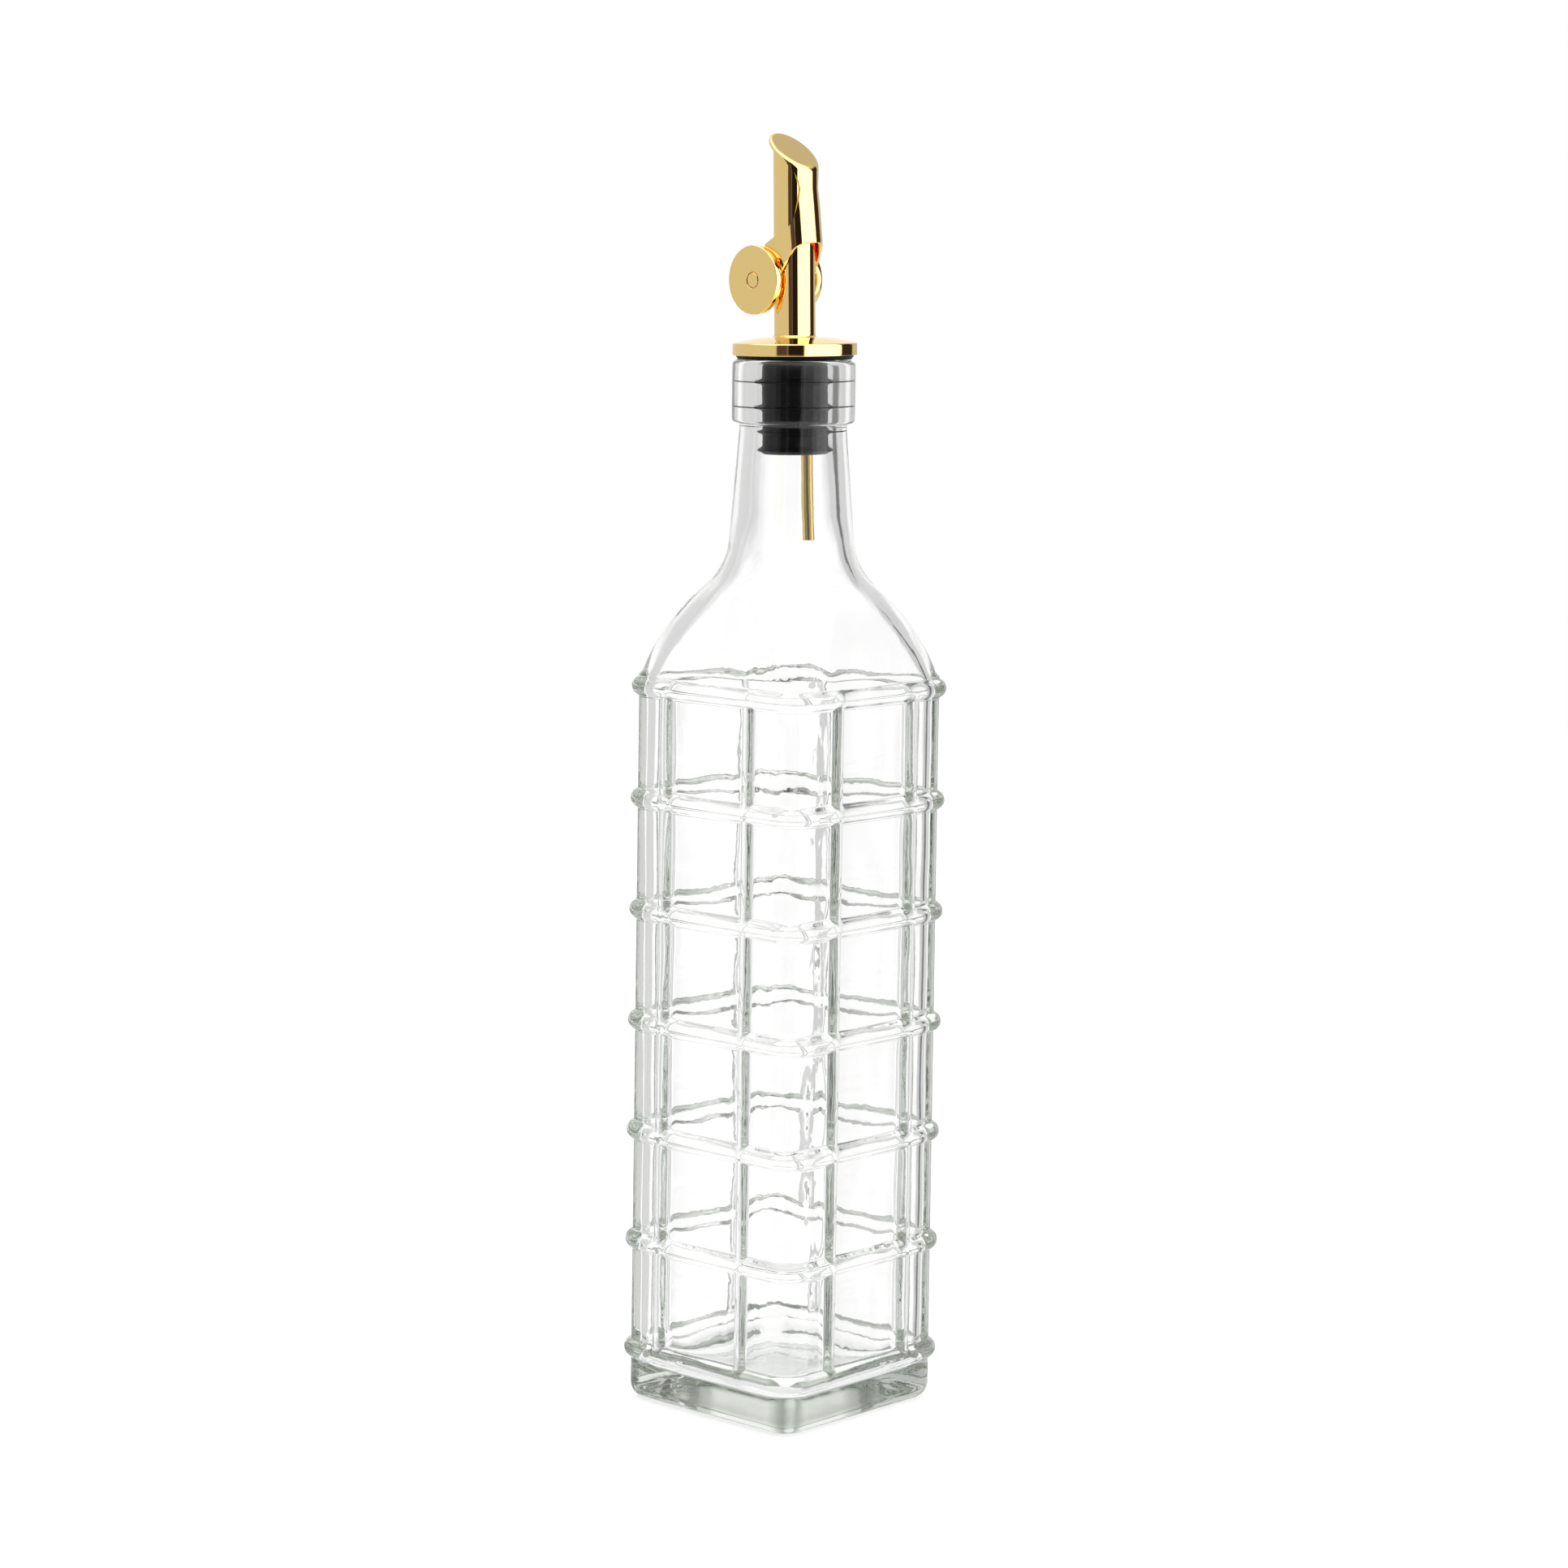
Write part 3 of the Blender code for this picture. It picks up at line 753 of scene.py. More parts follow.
    def inner_rows(self) -> Rows:
        """Rows of the inside, from the mouth down to the floor.

        Returns:
            Each row's height, half side and corner radius.
        """
        ease, slope_share = 0.0010, 0.6
        outline = arc((self.mouth + ease, self.lip_top_z - ease), ease, 95, 180, 6)
        bore = [(radius, z) for radius, z in outline]
        mouth_steps, widening_steps = 4, 8
        for i in range(1, mouth_steps + 1):
            drop = self.lip_bottom_z - self.lip_top_z + ease
            bore.append((self.mouth, self.lip_top_z - ease + drop * i / mouth_steps))
        for i in range(1, widening_steps + 1):
            share = i / widening_steps
            eased = share * share * (3 - 2 * share)
            z = self.lip_bottom_z + (self.lower_bore_z - self.lip_bottom_z) * share
            bore.append((self.mouth + (self.lower_bore - self.mouth) * eased, z))
        rows = [(z, radius, radius) for radius, z in bore]
        inner_half = self.half - self.wall
        inner_corner = self.corner - self.wall / 2
        body_reach = self.corner_reach(inner_half, inner_corner)
        top, low = self.fillet_top_z(), self.last_ring_z()
        steps = 26
        for i in range(steps):
            z = top + (low - top) * (i + 1) / steps
            reach = min(self.shoulder_reach(z + self.wall * slope_share) - self.wall, body_reach)
            share = inner_half / body_reach
            rows.append((z, *self.rounded_section(reach, self.lower_bore, body_reach, share)))
        body_steps, round_steps, floor_round, least_corner = 72, 8, 0.0060, 0.003
        bottom = self.floor + floor_round
        for i in range(1, body_steps):
            z = low + (bottom - low) * i / body_steps
            rows.append((z, inner_half, inner_corner))
        for i in range(round_steps + 1):
            angle = i / round_steps * math.pi / 2
            inset = floor_round * (1 - math.cos(angle))
            z = bottom - floor_round * math.sin(angle)
            rows.append((z, inner_half - inset, max(inner_corner - inset * 0.3, least_corner)))
        dome_edge = 0.78
        for share in self.floor_shares:
            rise = self.floor_dome * (1 - (share / dome_edge) ** 2)
            rows.append((self.floor + rise, inner_half * share, inner_corner * share))
        return rows

    def raised(self, z: float, across: float) -> float:
        """Height of rings and ribs over the panel, blended where they cross.

        Args:
            z: The height on the bottle.
            across: The distance from the nearest rib's middle.

        Returns:
            How far the glass stands out there.
        """
        if z < self.first_ring_z - self.ring.centre_of_fillet():
            return 0.0
        ring = round((z - self.first_ring_z) / self.ring_step)
        ring = min(max(ring, 0), self.ring_count - 1)
        ring_height = self.ring.height(z - self.first_ring_z - ring * self.ring_step)
        within = self.first_ring_z <= z <= self.last_ring_z()
        rib_height = self.rib.height(across) if within else 0.0
        low, high = sorted((ring_height, rib_height))
        blend = min(self.crossing_blend, low)
        if blend > 0:
            high += max(blend - (high - low), 0) ** 2 / (4 * blend)
        return min(high, self.ring.lift)

    def waved(self, point: Vector, across: float) -> float:
        """How far the blown inside strays from its mean, with a soft echo of rings and ribs.

        Args:
            point: A point of the inside.
            across: The distance from the nearest rib's middle.

        Returns:
            The distance outwards.
        """
        if point.z > self.lip_bottom_z:
            return 0.0
        calm = min(max((self.lip_bottom_z - point.z) / self.calm_length, 0.0), 1.0)
        stretched = Vector((point.x, point.y, point.z * self.wave_upright)) / self.wave_length
        wavelet = noise.noise(stretched * self.wavelet_finer + Vector(self.wavelet_offset))
        wave = noise.noise(stretched) + self.wavelet_share * wavelet
        strayed = self.wave_height * wave * calm
        if self.first_ring_z < point.z < self.last_ring_z():
            ring = (point.z - self.first_ring_z) / self.ring_step
            off_ring = abs(ring - round(ring)) * self.ring_step
            ring_part = math.exp(-((off_ring / self.ring_echo_reach) ** 2)) * self.ring.lift
            rib_part = math.exp(-((across / self.rib_echo_reach) ** 2)) * self.rib.lift
            strayed += max(self.ring_echo * ring_part, self.rib_echo * rib_part)
        return strayed

    def build(self, finish: bpy.types.Material) -> bpy.types.Object:
        """Makes the glass in one skin: up the outside, over the lip and down the inside.

        Args:
            finish: The glass.

        Returns:
            The bottle.
        """
        stations = self.stations()
        rows = []
        for z, half, corner in self.outer_rows():
            row = []
            for angle, across in stations:
                point, outward = self.section_point(half, corner, angle)
                point = point + outward * self.raised(z, across)
                row.append(Vector((point.x, point.y, z)))
            rows.append(row)
        for z, half, corner in self.inner_rows():
            row = []
            for angle, across in stations:
                point, outward = self.section_point(half, corner, angle)
                stray = self.waved(Vector((point.x, point.y, z)), across)
                point = point + outward * stray
                row.append(Vector((point.x, point.y, z)))
            rows.append(row)
        return finished_object("glass_bottle", lofted("glass_bottle", rows), finish)


@dataclass(frozen=True)
class PourerPlace:
    """Where the pourer stands. It was pushed into the mouth by hand, so it is a little askew."""

    lean: float = math.radians(1.1)
    lean_azimuth: float = math.radians(222.0)
    turn: float = math.radians(-3.0)
    hinge_back: float = 0.0004
    hinge_height: float = 0.0235

    def rotation(self) -> Matrix:
        """The pourer's turn and lean.

        Returns:
            The rotation, in the part's frame.
        """
        way = Vector((math.cos(self.lean_azimuth), math.sin(self.lean_azimuth), 0))
        lean = Matrix.Rotation(self.lean, 4, Vector((-way.y, way.x, 0)))
        return lean @ Matrix.Rotation(self.turn, 4, "Z")

    def at_hinge(self) -> Matrix:
        """The flap's frame, on the joint's axis."""
        return Matrix.Translation(Vector(frame["joints"][0]["pos_m"])) @ self.rotation()

    def at_lip(self) -> Matrix:
        """The pourer's frame, on top of the glass lip."""
        down = Vector((-self.hinge_back, 0, -self.hinge_height))
        return self.at_hinge() @ Matrix.Translation(down)


@dataclass
class Stopper:
    """The finned rubber plug: two fins squeezed against the glass, two free below, and a collar."""

    bore: float = 0.00525
    core: float = 0.00805
    depth: float = 0.0230
    collar: float = 0.0145
    collar_foot: float = 0.0139
    collar_top: float = 0.0011
    squeezed_fins: tuple[float, ...] = (0.0053, 0.0114)
    free_fins: tuple[float, ...] = (0.0175, 0.0220)
    squeezed_radius: float = 0.00975
    mouth: float = GlassBottle.mouth
    free_radius: float = 0.0093
    root: float = 0.0020
    tip: float = 0.0005

    def fin(self, depth: float, radius: float) -> Outline:
        """One fin, wide at its root, with a thin rounded tip.

        Args:
            depth: How deep its middle lies under the lip.
            radius: How far it reaches.

        Returns:
            Its outline from top to bottom, as (radius, height).
        """
        root, tip, fillet, ease = self.root / 2, self.tip / 2, 0.0003, 0.0002
        upper = [
            (self.core, root),
            (self.core + fillet, root * 0.6),
            (radius - ease, tip),
            (radius, tip * 0.4),
        ]
        lower = [(reach, -height) for reach, height in reversed(upper)]
        return [(reach, height - depth) for reach, height in upper + lower]

    def squeeze(self, plug: bpy.types.Object, place: Matrix) -> None:
        """Presses the upper fins evenly against the bore, though the plug stands a little askew.

        Args:
            plug: The stopper, in the pourer's frame.
            place: The pourer's frame in the part.
        """
        back, bite = place.inverted(), 0.00005
        lowest = -self.squeezed_fins[-1] - self.root
        for vertex in plug.data.vertices:
            reach = vertex.co.xy.length
            if reach < (self.core + self.mouth) / 2 or not lowest < vertex.co.z < -self.root:
                continue
            point = place @ vertex.co
            point.xy = point.xy.normalized() * (reach - self.squeezed_radius + self.mouth + bite)
            vertex.co = back @ point

    def build(self, finish: bpy.types.Material, place: Matrix) -> bpy.types.Object:
        """Makes the plug in one turned ring.

        Args:
            finish: The rubber.
            place: The pourer's frame in the part.

        Returns:
            The stopper.
        """
        top, sunk, ease, chamfer = self.collar_top, -0.00002, 0.0001, 0.0003
        outline = [
            (self.bore, top),
            (self.collar - ease, top),
            (self.collar, top - ease),
            (self.collar_foot, sunk + ease),
            (self.collar_foot - ease, sunk),
            (self.core + 0.0015, sunk),
            (self.core + 0.0002, -0.0006),
            (self.core, -0.0012),
        ]
        for depth in self.squeezed_fins:
            outline += self.fin(depth, self.squeezed_radius)
        for depth in self.free_fins:
            outline += self.fin(depth, self.free_radius)
        outline[-1] = (self.core - chamfer, -self.depth)
        outline.append((self.bore, -self.depth))
        plug = turned("rubber_stopper", outline, finish)
        self.squeeze(plug, place)
        return plug


@dataclass
class Flange:
    """The round plate over the stopper, pressed to a low dome with a small fillet at the tube."""

    radius: float = 0.0153
    base: float = 0.0011
    edge: float = 0.0030
    dome: float = 0.0017
    round_edge: float = 0.00045
    bore: float = 0.00507
    foot: float = 0.0007

    def build(self, finish: bpy.types.Material) -> bpy.types.Object:
        """Makes the plate in one turned ring.

        Args:
            finish: The plating.

        Returns:
            The flange.
        """
        edge, crown = self.base + self.edge, self.dome * 0.8
        small, low = self.round_edge, 0.0001
        outline = [(self.bore, self.base)]
        outline += arc((self.radius - low, self.base + low), low, -90, 0, 4)
        outline += arc((self.radius - small, edge - small), small, 0, 82, 6)
        inner = self.bore + self.foot
        steps = 14
        for i in range(1, steps):
            share = i / steps
            radius = self.radius - small + (inner - self.radius + small) * share
            outline.append((radius, edge + crown * math.sin(share * math.pi / 2)))
        outline += arc((inner, edge + crown + self.foot), self.foot, -90, -175, 6)
        return turned("flange_plate", outline, finish, 160)


@dataclass
class SpoutTube:
    """The thin pouring tube, cut on a slant, its mouth's edge slightly rounded."""

    radius: float = 0.00505
    wall: float = 0.0005
    end: float = 0.0228
    top: float = 0.0495
    slant: float = 0.75
    steps: int = 112

    def slanted(self, radius: float, drop: float) -> list[Vector]:
        """A ring on the slanted cut, a little below it."""
        ring = level_ring(radius, self.top - drop, self.steps)
        return [p + Vector((0, 0, -self.slant * p.x)) for p in ring]

    def build(self, finish: bpy.types.Material) -> bpy.types.Object:
        """Makes the tube with a rounded rim.

        Args:
            finish: The plating.

        Returns:
            The tube.
        """
        outer, inner = self.radius, self.radius - self.wall
        ease, straight = 0.0001, 0.004
        rows = [
            level_ring(inner, -self.end, self.steps),
            level_ring(outer, -self.end, self.steps),
            self.slanted(outer, straight),
            self.slanted(outer, ease),
            self.slanted(outer - ease, 0.0),
            self.slanted(inner + ease, 0.0),
            self.slanted(inner, ease),
            self.slanted(inner, straight),
        ]
        return finished_object("spout_tube", lofted("spout_tube", rows, closed=True), finish)


@dataclass
class AirTube:
    """The vent tube that leans out of the spout's lower end into the neck."""

    radius: float = 0.0015
    bore: float = 0.0011
    end: float = 0.0439
    top: float = 0.0090
    offset: float = 0.00285
    lean: float = 0.018
    azimuth: float = math.radians(45.0)
    stopper_depth: float = Stopper.depth

    def build(self, finish: bpy.types.Material) -> bpy.types.Object:
        """Makes the tube and leans it in the pourer's frame.

        Args:
            finish: The plating.

        Returns:
            The tube.
        """
        half, ease = (self.end - self.top) / 2, 0.0001
        outline = [
            (self.bore, -half),
            (self.radius - ease, -half),
            (self.radius, ease - half),
            (self.radius, half - ease),
            (self.radius - ease, half),
            (self.bore, half),
        ]
        tube = turned("air_tube_fine", outline, finish, 48)
        middle = -(self.end + self.top) / 2
        offset = self.offset + self.lean * (-self.stopper_depth - middle)
        way = Vector((math.cos(self.azimuth), math.sin(self.azimuth), 0))
        place = Matrix.Translation(way * offset + Vector((0, 0, middle)))
        turn = Matrix.Rotation(self.azimuth, 4, "Z")
        lean = Matrix.Rotation(-math.atan(self.lean), 4, "Y")
        tube.data.transform(place @ turn @ lean)
        return tube


@dataclass
class Flap:
    """The flap, one folded sheet: a slanted lid, a back strip and two ears on the hinge's pins."""

    sheet: float = 0.0006
    radius: float = 0.0059
    lid_height: float = 0.0272
    overhang: float = 0.0002
    lid_round: float = 0.0011
    slant: float = SpoutTube.slant
    back_lean: float = 0.0014
    back_bottom: float = 0.0048
    back_top: float = 0.0200
    ear_reach: float = 0.0120
    bottom: float = -0.0140
    pin_radius: float = 0.0010
    pin_end: float = 0.0048
    dimple_radius: float = 0.0012
    dimple_depth: float = 0.0008
    rod_forward: float = 0.0070
    rod_drop: float = 0.0042
    rod_hole: float = 0.0014
    ear_radius: float = 0.0074
    hinge_back: float = PourerPlace.hinge_back
    steps: int = 96
    tool_steps: int = 40
    beyond: float = 0.0090
    across: float = 0.0100

    waist: ClassVar[tuple[tuple[float, float], ...]] = (
        (-0.0076, 0.0306),
        (-0.0032, 0.0280),
        (0.0007, 0.0251),
        (0.0034, 0.0224),
        (0.0046, 0.0190),
        (0.0047, 0.0150),
        (0.0040, 0.0106),
        (0.0025, 0.0082),
        (-0.0010, 0.0064),
        (-0.0044, 0.0046),
    )
    undercut: ClassVar[tuple[tuple[float, float], ...]] = (
        (-0.0018, -0.0062),
        (0.0005, -0.0026),
        (0.0018, -0.0006),
        (0.0032, 0.0019),
        (0.0047, 0.0038),
        (0.0064, 0.0048),
    )
    # The dimple's rings, as shares of its radius and depth. The last one lies outside the ear.
    dimple: ClassVar[tuple[tuple[float, float], ...]] = (
        (0.30, 0.0),
        (0.62, 0.12),
        (0.85, 0.42),
        (0.97, 0.8),
        (1.0, 1.0),
        (1.0, 1.6),
    )

    def sleeve_loop(
        self, radius: float, back: float, front: float, z: float, slope: float = 0.0
    ) -> list[Vector]:
        """A stadium: a half circle moved back, one moved forward, with straight sides between.

        Args:
            radius: The half circles' radius.
            back: How far the one behind the tube moves back.
            front: How far the other moves forward.
            z: The height over the hinge.
            slope: How fast the loop falls towards the back.

        Returns:
            The loop's points.
        """
        half_count = self.steps // 2
        loop = []
        for shift, start in ((back, -math.pi / 2), (-front, math.pi / 2)):
            for i in range(half_count + 1):
                angle = start + math.pi * i / half_count
                x = shift + radius * math.cos(angle)
                y = radius * math.sin(angle)
                loop.append(Vector((x - self.hinge_back, y, z - slope * x)))
        return loop

    def sleeve(self, radius: float, lid_height: float, round_size: float) -> bpy.types.Mesh:
        """Closed sleeve form: long at the ears, round at the slanted lid, leaning back low down.

        Args:
            radius: The sleeve's radius.
            lid_height: The lid's height over the hinge.
            round_size: The radius of the lid's edge.

        Returns:
            The form's mesh.
        """
        least = 0.0001
        middle = (self.back_bottom + self.back_top) / 2
        upper = self.back_top - self.slant * radius / 2
        rows = [
            self.sleeve_loop(radius, self.back_lean, self.ear_reach, self.bottom),
            self.sleeve_loop(radius, self.back_lean, self.ear_reach, self.back_bottom),
            self.sleeve_loop(radius, self.back_lean * 0.5, self.ear_reach, middle),
            self.sleeve_loop(radius, least, self.overhang, upper),
        ]
        round_steps = 8
        for i in range(round_steps + 1):
            angle = i / round_steps * math.pi / 2
            inset = round_size * (1 - math.cos(angle))
            height = lid_height - round_size * (1 - math.sin(angle))
            rows.append(self.sleeve_loop(radius - inset, least, self.overhang, height, self.slant))
        return lofted("sleeve", rows)

    def side_outline(self) -> list[Vector]:
        """The outline seen along the hinge: lid and back, waist, ears round the weights' rod.

        Returns:
            Its points, in the plane across the hinge.
        """
        beyond = self.beyond
        outline = smooth_curve(list(self.waist), 8)
        ear = arc((-self.rod_forward, -self.rod_drop), self.ear_radius, 78, 345, 48)
        outline += [Vector(p) for p in ear]
        outline += smooth_curve(list(self.undercut), 8)[1:]
        outline += [Vector((beyond, self.back_bottom)), Vector((beyond, self.lid_height + beyond))]
        return outline + [Vector((-beyond, self.lid_height + beyond))]

    def cut_round(
        self, flap: bpy.types.Object, rings: Outline, turn: float, place: Vector, operation: str
    ) -> None:
        """Joins a round form along the hinge to the flap, or cuts it out.

        Args:
            flap: The flap, in the hinge's frame.
            rings: The form's rings, as (radius, height).
            turn: The form's turn about X, in radians.
            place: Where its first ring's plane stands at a height of 0.
            operation: "UNION" or "DIFFERENCE".
        """
        rows = [level_ring(radius, z, self.tool_steps) for radius, z in rings]
        tool = finished_object("tool", lofted("tool", rows), flap.data.materials[0])
        tool.rotation_euler.x = turn
        tool.location = place
        bpy.context.view_layer.update()
        cut(flap, tool, operation)

    def add_pins(self, flap: bpy.types.Object) -> None:
        """Presses a pin into each ear, with the dimple that it leaves outside."""
        length = self.radius - self.sheet / 2 - self.pin_end
        pin = [(self.pin_radius, 0.0), (self.pin_radius, length)]
        dimple = [(self.dimple_radius * r, self.dimple_depth * z) for r, z in self.dimple]
        for side in (-1, 1):
            turn = side * math.pi / 2
            root = Vector((0, side * (self.pin_end + length), 0))
            self.cut_round(flap, pin, turn, root, "UNION")
            bottom = Vector((0, side * (self.radius - self.dimple_depth), 0))
            self.cut_round(flap, dimple, -turn, bottom, "DIFFERENCE")

    def build(self, finish: bpy.types.Material) -> bpy.types.Object:
        """Makes the folded sheet in the hinge's frame.

        Args:
            finish: The plating.

        Returns:
            The flap.
        """
        outer = self.sleeve(self.radius, self.lid_height, self.lid_round)
        flap = finished_object("flap_sheet", outer, finish)
        rise = self.sheet * math.sqrt(1 + self.slant**2)
        hollow = self.sleeve(self.radius - self.sheet, self.lid_height - rise, self.lid_round / 2)
        below = 0.002
        for vertex in hollow.vertices:
            if vertex.co.z < self.bottom / 2:
                vertex.co.z -= below
        cut(flap, finished_object("inside", hollow, finish), "DIFFERENCE")
        outline = self.side_outline()
        rows = [[Vector((p.x, y, p.y)) for p in outline] for y in (-self.across, self.across)]
        cut(flap, finished_object("outline", lofted("outline", rows), finish), "INTERSECT")
        self.add_pins(flap)
        through = [(self.rod_hole, -2 * self.radius), (self.rod_hole, 2 * self.radius)]
        rod = Vector((-self.rod_forward, 0, -self.rod_drop))
        self.cut_round(flap, through, math.pi / 2, rod, "DIFFERENCE")
        flap.data.shade_smooth()
        flap.data.set_sharp_from_angle(angle=SMOOTH_ANGLE)
        return flap


@dataclass
class Counterweights:
    """Two thick discs on a rod, each with eased edges and the ring of the rod's riveted head."""

    radius: float = 0.0084
    thickness: float = 0.00185
    outer_face: float = 0.0079
    ease: float = 0.00028
    head_radius: float = 0.0018
    groove: float = 0.00022
    rod_radius: float = 0.0012
    forward: float = Flap.rod_forward
    drop: float = Flap.rod_drop

    def disc(self, name: str, side: int, finish: bpy.types.Material) -> bpy.types.Object:
        """One disc in the hinge's frame.

        Args:
            name: The disc's name.
            side: -1 for the near side, 1 for the far side.
            finish: The plating.

        Returns:
            The disc.
        """
        thick, ease, bevel = self.thickness, self.ease, 0.00005
        bore = self.head_radius + self.groove
        outline = [(bore, 0.0)]
        outline += arc((self.radius - ease, ease), ease, -90, 0, 5)
        outline += arc((self.radius - ease, thick - ease), ease, 0, 90, 5)
        outline += [(bore + bevel, thick), (bore, thick - bevel)]
        disc = turned(name, outline, finish, 160)
        turn = Matrix.Rotation(-side * math.pi / 2, 4, "X")
        place = Vector((-self.forward, side * (self.outer_face - thick), -self.drop))
        disc.data.transform(Matrix.Translation(place) @ turn)
        return disc

    def rod(self, finish: bpy.types.Material) -> bpy.types.Object:
        """The rod with its heads, each with a small punch mark, in the hinge's frame.

        Args:
            finish: The plating.

        Returns:
            The rod.
        """
        half, shoulder = self.outer_face, self.outer_face - self.thickness
        ease, mark = 0.00006, 0.00022
        side = [
            (mark * 0.3, half - mark),
            (mark, half),
            (self.head_radius - ease, half),
            (self.head_radius, half - ease),
            (self.head_radius, shoulder),
            (self.rod_radius, shoulder),
        ]
        mirrored = [(radius, -z) for radius, z in reversed(side)]
        rows = [level_ring(radius, z, 64) for radius, z in side + mirrored]
        rod = finished_object("counterweight_rod", lofted("counterweight_rod", rows), finish)
        turn = Matrix.Rotation(math.pi / 2, 4, "X")
        place = Vector((-self.forward, 0, -self.drop))
        rod.data.transform(Matrix.Translation(place) @ turn)
        return rod


@dataclass(frozen=True)
class Card:
    """A light or dark card of the studio.

    Its bearing runs from the camera's side, positive to the picture's right. Bearing and height are
    in degrees, as seen from the bottle. Metal and glass see levels of their own, for each was
    matched by itself.
    """

    begin: float
    end: float
    low: float
    high: float
    metal: float
    glass: float
    soft: float = 6.0


@dataclass
class Studio:
    """A white sweep, soft light all round, a softbox at the right, dark gaps, and the camera."""

    azimuth: float = 42.1
    distance: float = 1.0251
    height: float = 0.2915
    pitch: float = 7.55
    yaw: float = 0.055
    roll: float = 0.82
    lens: float = 95.98
    sensor: float = 36.0
    floor_radius: float = 1.5
    floor_glow: float = 0.70
    floor_roughness: float = 0.6
    room_on_metal: float = 0.73
    room_on_glass: float = 0.70
    sweep_on_metal: float = 1.0
    sweep_in_glass: float = 1.15
    sweep_edge: float = 28.0
    sweep_core: float = 3.0
    floor_grey: float = 0.36
    bounces: int = 24

    soft_step: ClassVar[dict[str, object]] = {"interpolation_type": "SMOOTHSTEP"}
    gap_tint: ClassVar[tuple[float, ...]] = (1.0, 0.66, 0.72, 1.0)
    gap_levels: ClassVar[tuple[float, float]] = (0.05, 0.3)
    cards: ClassVar[tuple[Card, ...]] = (
        Card(begin=132, end=164, low=-60, high=60, metal=0.60, glass=0.70, soft=10),
        Card(begin=-78, end=-34, low=-14, high=40, metal=0.73, glass=0.24, soft=10),
        Card(begin=-34, end=-13, low=-14, high=40, metal=0.09, glass=0.05, soft=5),
        Card(begin=-13, end=19, low=-14, high=40, metal=0.02, glass=0.03, soft=5),
        Card(begin=19, end=95, low=-60, high=65, metal=2.6, glass=1.10, soft=8),
        Card(begin=21, end=52, low=-14, high=40, metal=2.6, glass=0.40, soft=8),
        Card(begin=96, end=132, low=-20, high=35, metal=0.04, glass=0.18, soft=7),
        Card(begin=-170, end=110, low=46, high=84, metal=2.2, glass=0.85, soft=8),
        Card(begin=-190, end=190, low=-100, high=-40, metal=1.0, glass=1.15, soft=8),
    )

    def add_camera(self) -> None:
        """Sets the camera where the photograph was taken."""
        data = bpy.data.cameras.new("camera")
        data.lens = self.lens
        data.sensor_width = self.sensor
        data.clip_start = 0.01
        camera = bpy.data.objects.new("camera", data)
        bearing = math.radians(self.azimuth)
        camera.location = (
            self.distance * math.sin(bearing),
            -self.distance * math.cos(bearing),
            self.height,
        )
        tilt = math.radians(90 - self.pitch)
        camera.rotation_euler = (tilt, 0, math.radians(self.azimuth + self.yaw))
        camera.rotation_euler.rotate_axis("Z", math.radians(self.roll))
        bpy.context.scene.collection.objects.link(camera)
        bpy.context.scene.camera = camera

    def add_floor(self) -> None:
        """Lays the pale floor, a light table that glows from below.

        Rays through the glass or off a mirror don't meet it. They see the pale ground card.
        """
        made, _ = new_material(
            "opal_acrylic_matt",
            Base_Color=(*[self.floor_grey] * 3, 1.0),
            Roughness=self.floor_roughness,
            Specular_IOR_Level=0.0,
            Emission_Color=WHITE,
            Emission_Strength=self.floor_glow,
        )
        mesh = bpy.data.meshes.new("floor")
        count, gap = 96, 0.0001
        mesh.from_pydata(level_ring(self.floor_radius, -gap, count), [], [tuple(range(count))])
        floor = finished_object("floor", mesh, made)
        floor.visible_transmission = False
        floor.visible_glossy = False

    def band(self, tree: Tree, value: Socket, low: float, high: float, soft: float) -> Socket:
        """1 where an angle lies between two bounds, falling softly to 0 outside them.

        Args:
            tree: The world's node tree.
            value: The angle, in degrees.
            low: The lower bound.
            high: The upper bound.
            soft: The width of each soft edge.

        Returns:
            The band's socket.
        """
        edges = []
        for bound, half in ((low, soft / 2), (high, -soft / 2)):
            edge = add_node(
                tree,
                "ShaderNodeMapRange",
                self.soft_step,
                Value=value,
                From_Min=bound - half,
                From_Max=bound + half,
            )
            edges.append(edge.outputs["Result"])
        rise, fall = edges
        both = add_node(tree, "ShaderNodeMath", {"operation": "MULTIPLY"}, in0=rise, in1=fall)
        return both.outputs[0]

    def directions(self, tree: Tree) -> tuple[Socket, Socket]:
        """Works out where in the studio a ray goes.

        Args:
            tree: The world's node tree.

        Returns:
            Its bearing from the camera's side, and its height, both in degrees.
        """
        way = add_node(tree, "ShaderNodeTexCoord").outputs["Generated"]
        bearing = math.radians(self.azimuth)
        to_camera = (math.sin(bearing), -math.cos(bearing), 0.0)
        to_right = (math.cos(bearing), math.sin(bearing), 0.0)
        dot = {"operation": "DOT_PRODUCT"}
        ahead = add_node(tree, "ShaderNodeVectorMath", dot, in0=way, in1=to_camera).outputs["Value"]
        aside = add_node(tree, "ShaderNodeVectorMath", dot, in0=way, in1=to_right).outputs["Value"]
        turn = add_node(tree, "ShaderNodeMath", {"operation": "ARCTAN2"}, in0=aside, in1=ahead)
        degrees = {"operation": "DEGREES"}
        side_angle = add_node(tree, "ShaderNodeMath", degrees, in0=turn.outputs[0]).outputs[0]
        parts = add_node(tree, "ShaderNodeSeparateXYZ", Vector=way)
        rise = add_node(tree, "ShaderNodeMath", {"operation": "ARCSINE"}, in0=parts.outputs["Z"])
        height_angle = add_node(tree, "ShaderNodeMath", degrees, in0=rise.outputs[0]).outputs[0]
        return side_angle, height_angle

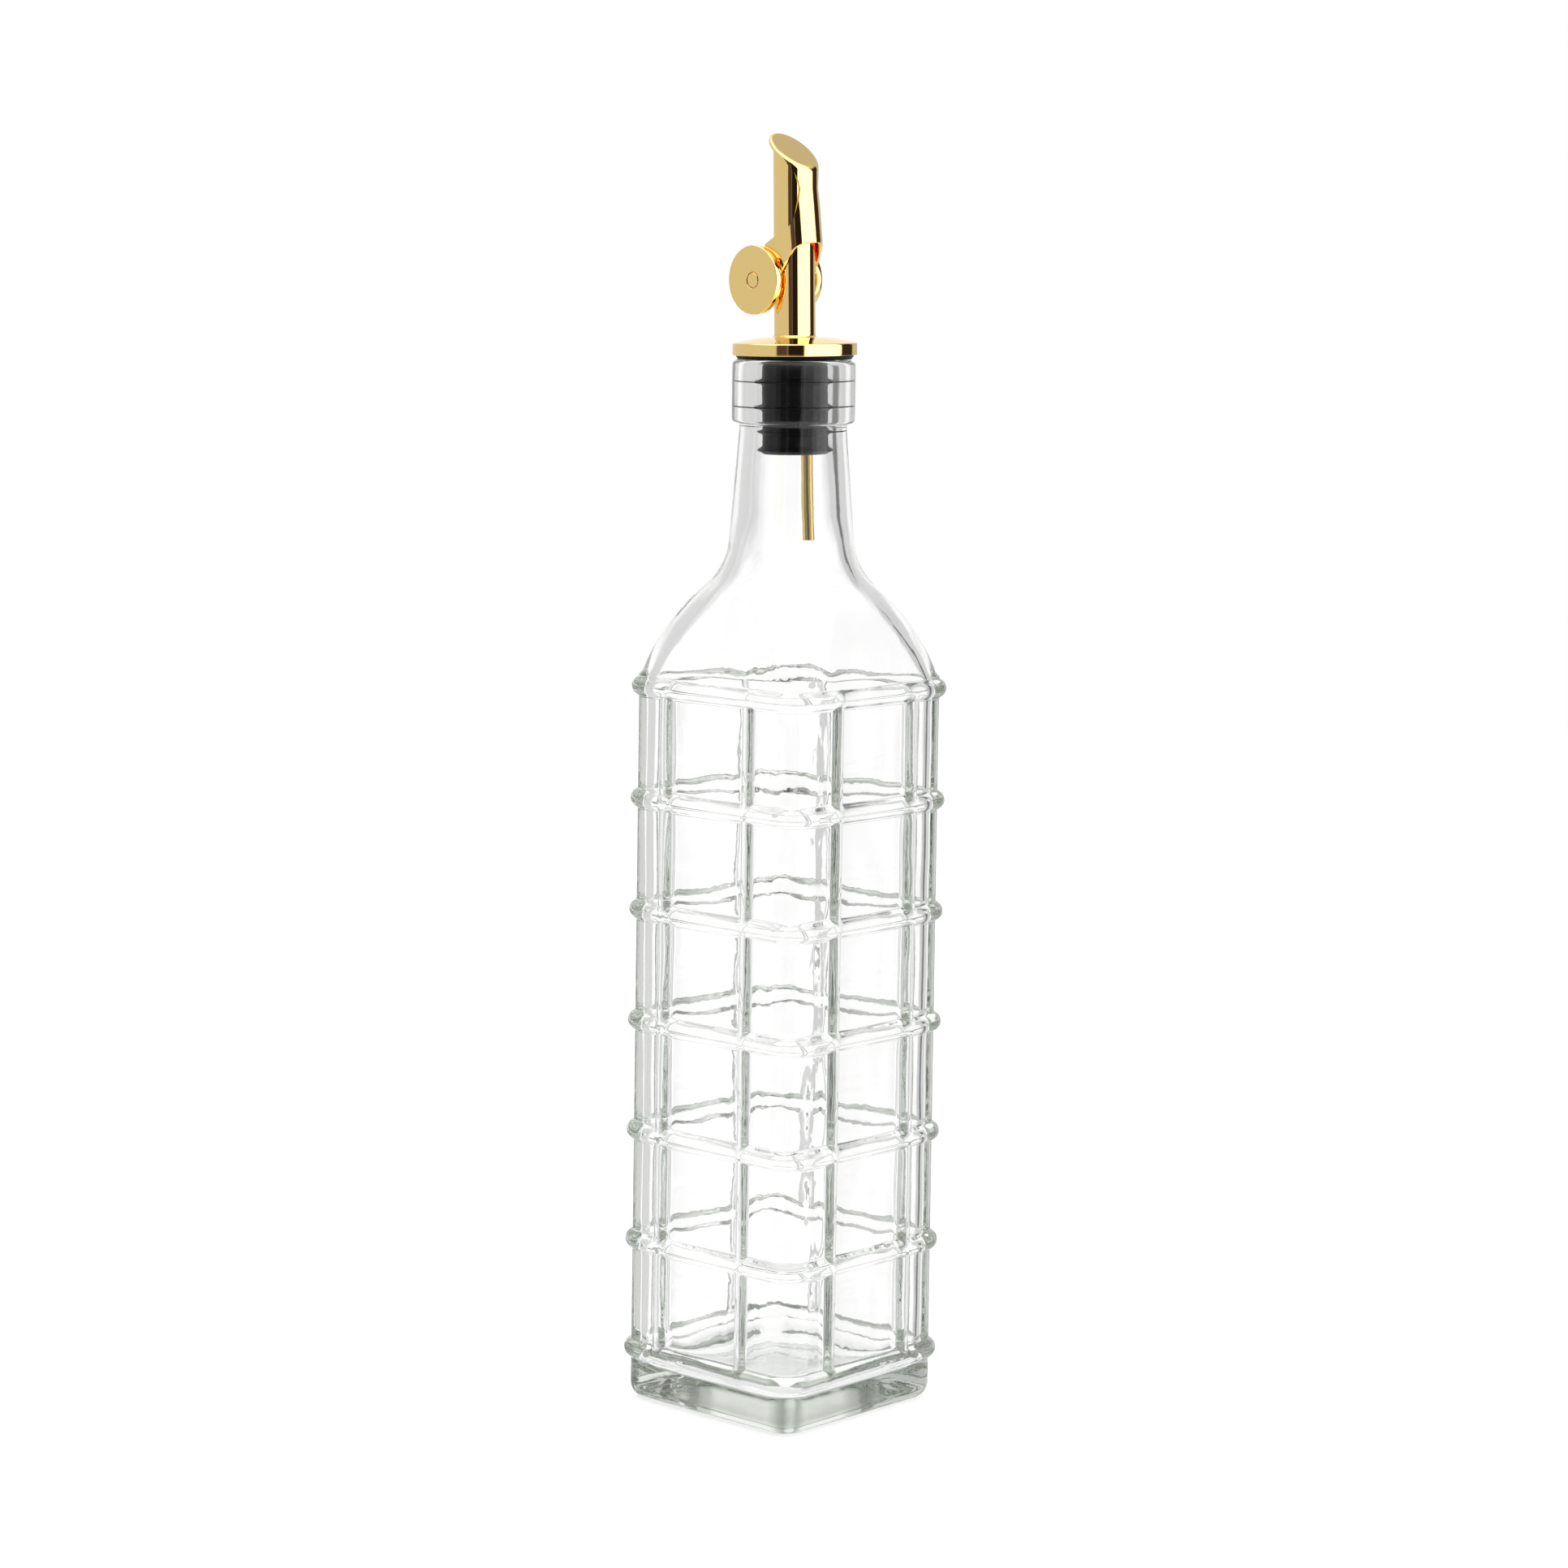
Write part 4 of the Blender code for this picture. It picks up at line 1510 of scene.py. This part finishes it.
    def add_light(self) -> None:
        """Surrounds the bottle with the sweep, the softbox, the dark gaps and the pale ground."""
        world = bpy.data.worlds.new("studio")
        bpy.context.scene.world = world
        world.use_nodes = True
        tree = world.node_tree
        side_angle, height_angle = self.directions(tree)
        path = add_node(tree, "ShaderNodeLightPath")
        in_glass = path.outputs["Is Singular Ray"]
        away = add_node(tree, "ShaderNodeMath", {"operation": "ABSOLUTE"}, in0=side_angle)
        sweep = add_node(
            tree,
            "ShaderNodeMapRange",
            self.soft_step,
            Value=away.outputs[0],
            From_Min=180 - self.sweep_edge,
            From_Max=180 - self.sweep_core,
        ).outputs["Result"]
        mix = "ShaderNodeMix"
        room, backdrop = (
            add_node(tree, mix, Factor=in_glass, in2=metal, in3=glass).outputs[0]
            for metal, glass in (
                (self.room_on_metal, self.room_on_glass),
                (self.sweep_on_metal, self.sweep_in_glass),
            )
        )
        level = add_node(tree, mix, Factor=sweep, in2=room, in3=backdrop).outputs[0]
        for card in self.cards:
            wide = self.band(tree, side_angle, card.begin, card.end, card.soft)
            tall = self.band(tree, height_angle, card.low, card.high, card.soft * 2)
            both = add_node(tree, "ShaderNodeMath", {"operation": "MULTIPLY"}, in0=wide, in1=tall)
            shown = add_node(tree, mix, Factor=in_glass, in2=card.metal, in3=card.glass)
            mask, shown = both.outputs[0], shown.outputs[0]
            level = add_node(tree, mix, Factor=mask, in2=level, in3=shown).outputs[0]
        seen = path.outputs["Is Camera Ray"]
        level = add_node(tree, mix, Factor=seen, in2=level, in3=1.0).outputs[0]
        dark, pale = self.gap_levels
        rise = add_node(
            tree, "ShaderNodeMapRange", self.soft_step, Value=level, From_Min=dark, From_Max=pale
        ).outputs["Result"]
        lit = add_node(tree, mix, Factor=in_glass, in2=rise, in3=1.0).outputs[0]
        rgba = {"data_type": "RGBA"}
        colour = add_node(tree, mix, rgba, in0=lit, in6=self.gap_tint, in7=WHITE)
        back = tree.nodes["Background"]
        tree.links.new(level, back.inputs["Strength"])
        tree.links.new(colour.outputs[2], back.inputs["Color"])

    def set_view(self) -> None:
        """Shows white as white, and lets light pass all the glass walls."""
        scene = bpy.context.scene
        scene.view_settings.view_transform = "Standard"
        scene.view_settings.look = "None"
        for kind in ("max_bounces", "transmission_bounces", "glossy_bounces"):
            setattr(scene.cycles, kind, self.bounces)
        scene.cycles.use_denoising = True

    def build(self) -> None:
        """Sets up camera, floor, light and view."""
        self.add_camera()
        self.add_floor()
        self.add_light()
        self.set_view()


def main() -> None:
    """Builds the sub-assemblies in order and sets each on its body."""
    logging.basicConfig(level=logging.INFO, format="%(name)s: %(message)s")
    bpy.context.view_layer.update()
    Studio().build()
    glass = ClearGlass().material()
    gold = GoldPlate().material()
    rubber = MouldedRubber().material()
    lip, hinge = PourerPlace().at_lip(), PourerPlace().at_hinge()
    weights = Counterweights()
    ride(GlassBottle().build(glass), Matrix(), Body.BOTTLE, "bottle")
    ride(Stopper().build(rubber, lip), lip, Body.BOTTLE, "stopper")
    ride(Flange().build(gold), lip, Body.BOTTLE, "flange")
    ride(SpoutTube().build(gold), lip, Body.BOTTLE, "spout")
    ride(AirTube().build(gold), lip, Body.BOTTLE, "air_tube")
    ride(Flap().build(gold), hinge, Body.FLAP, "flap")
    near = weights.disc("counterweight_near", -1, gold)
    far = weights.disc("counterweight_far", 1, gold)
    ride(near, hinge, Body.FLAP, "weight_near")
    ride(far, hinge, Body.FLAP, "weight_far")
    ride(weights.rod(gold), hinge, Body.FLAP, "weight_rod")


if __name__ == "__main__":
    main()
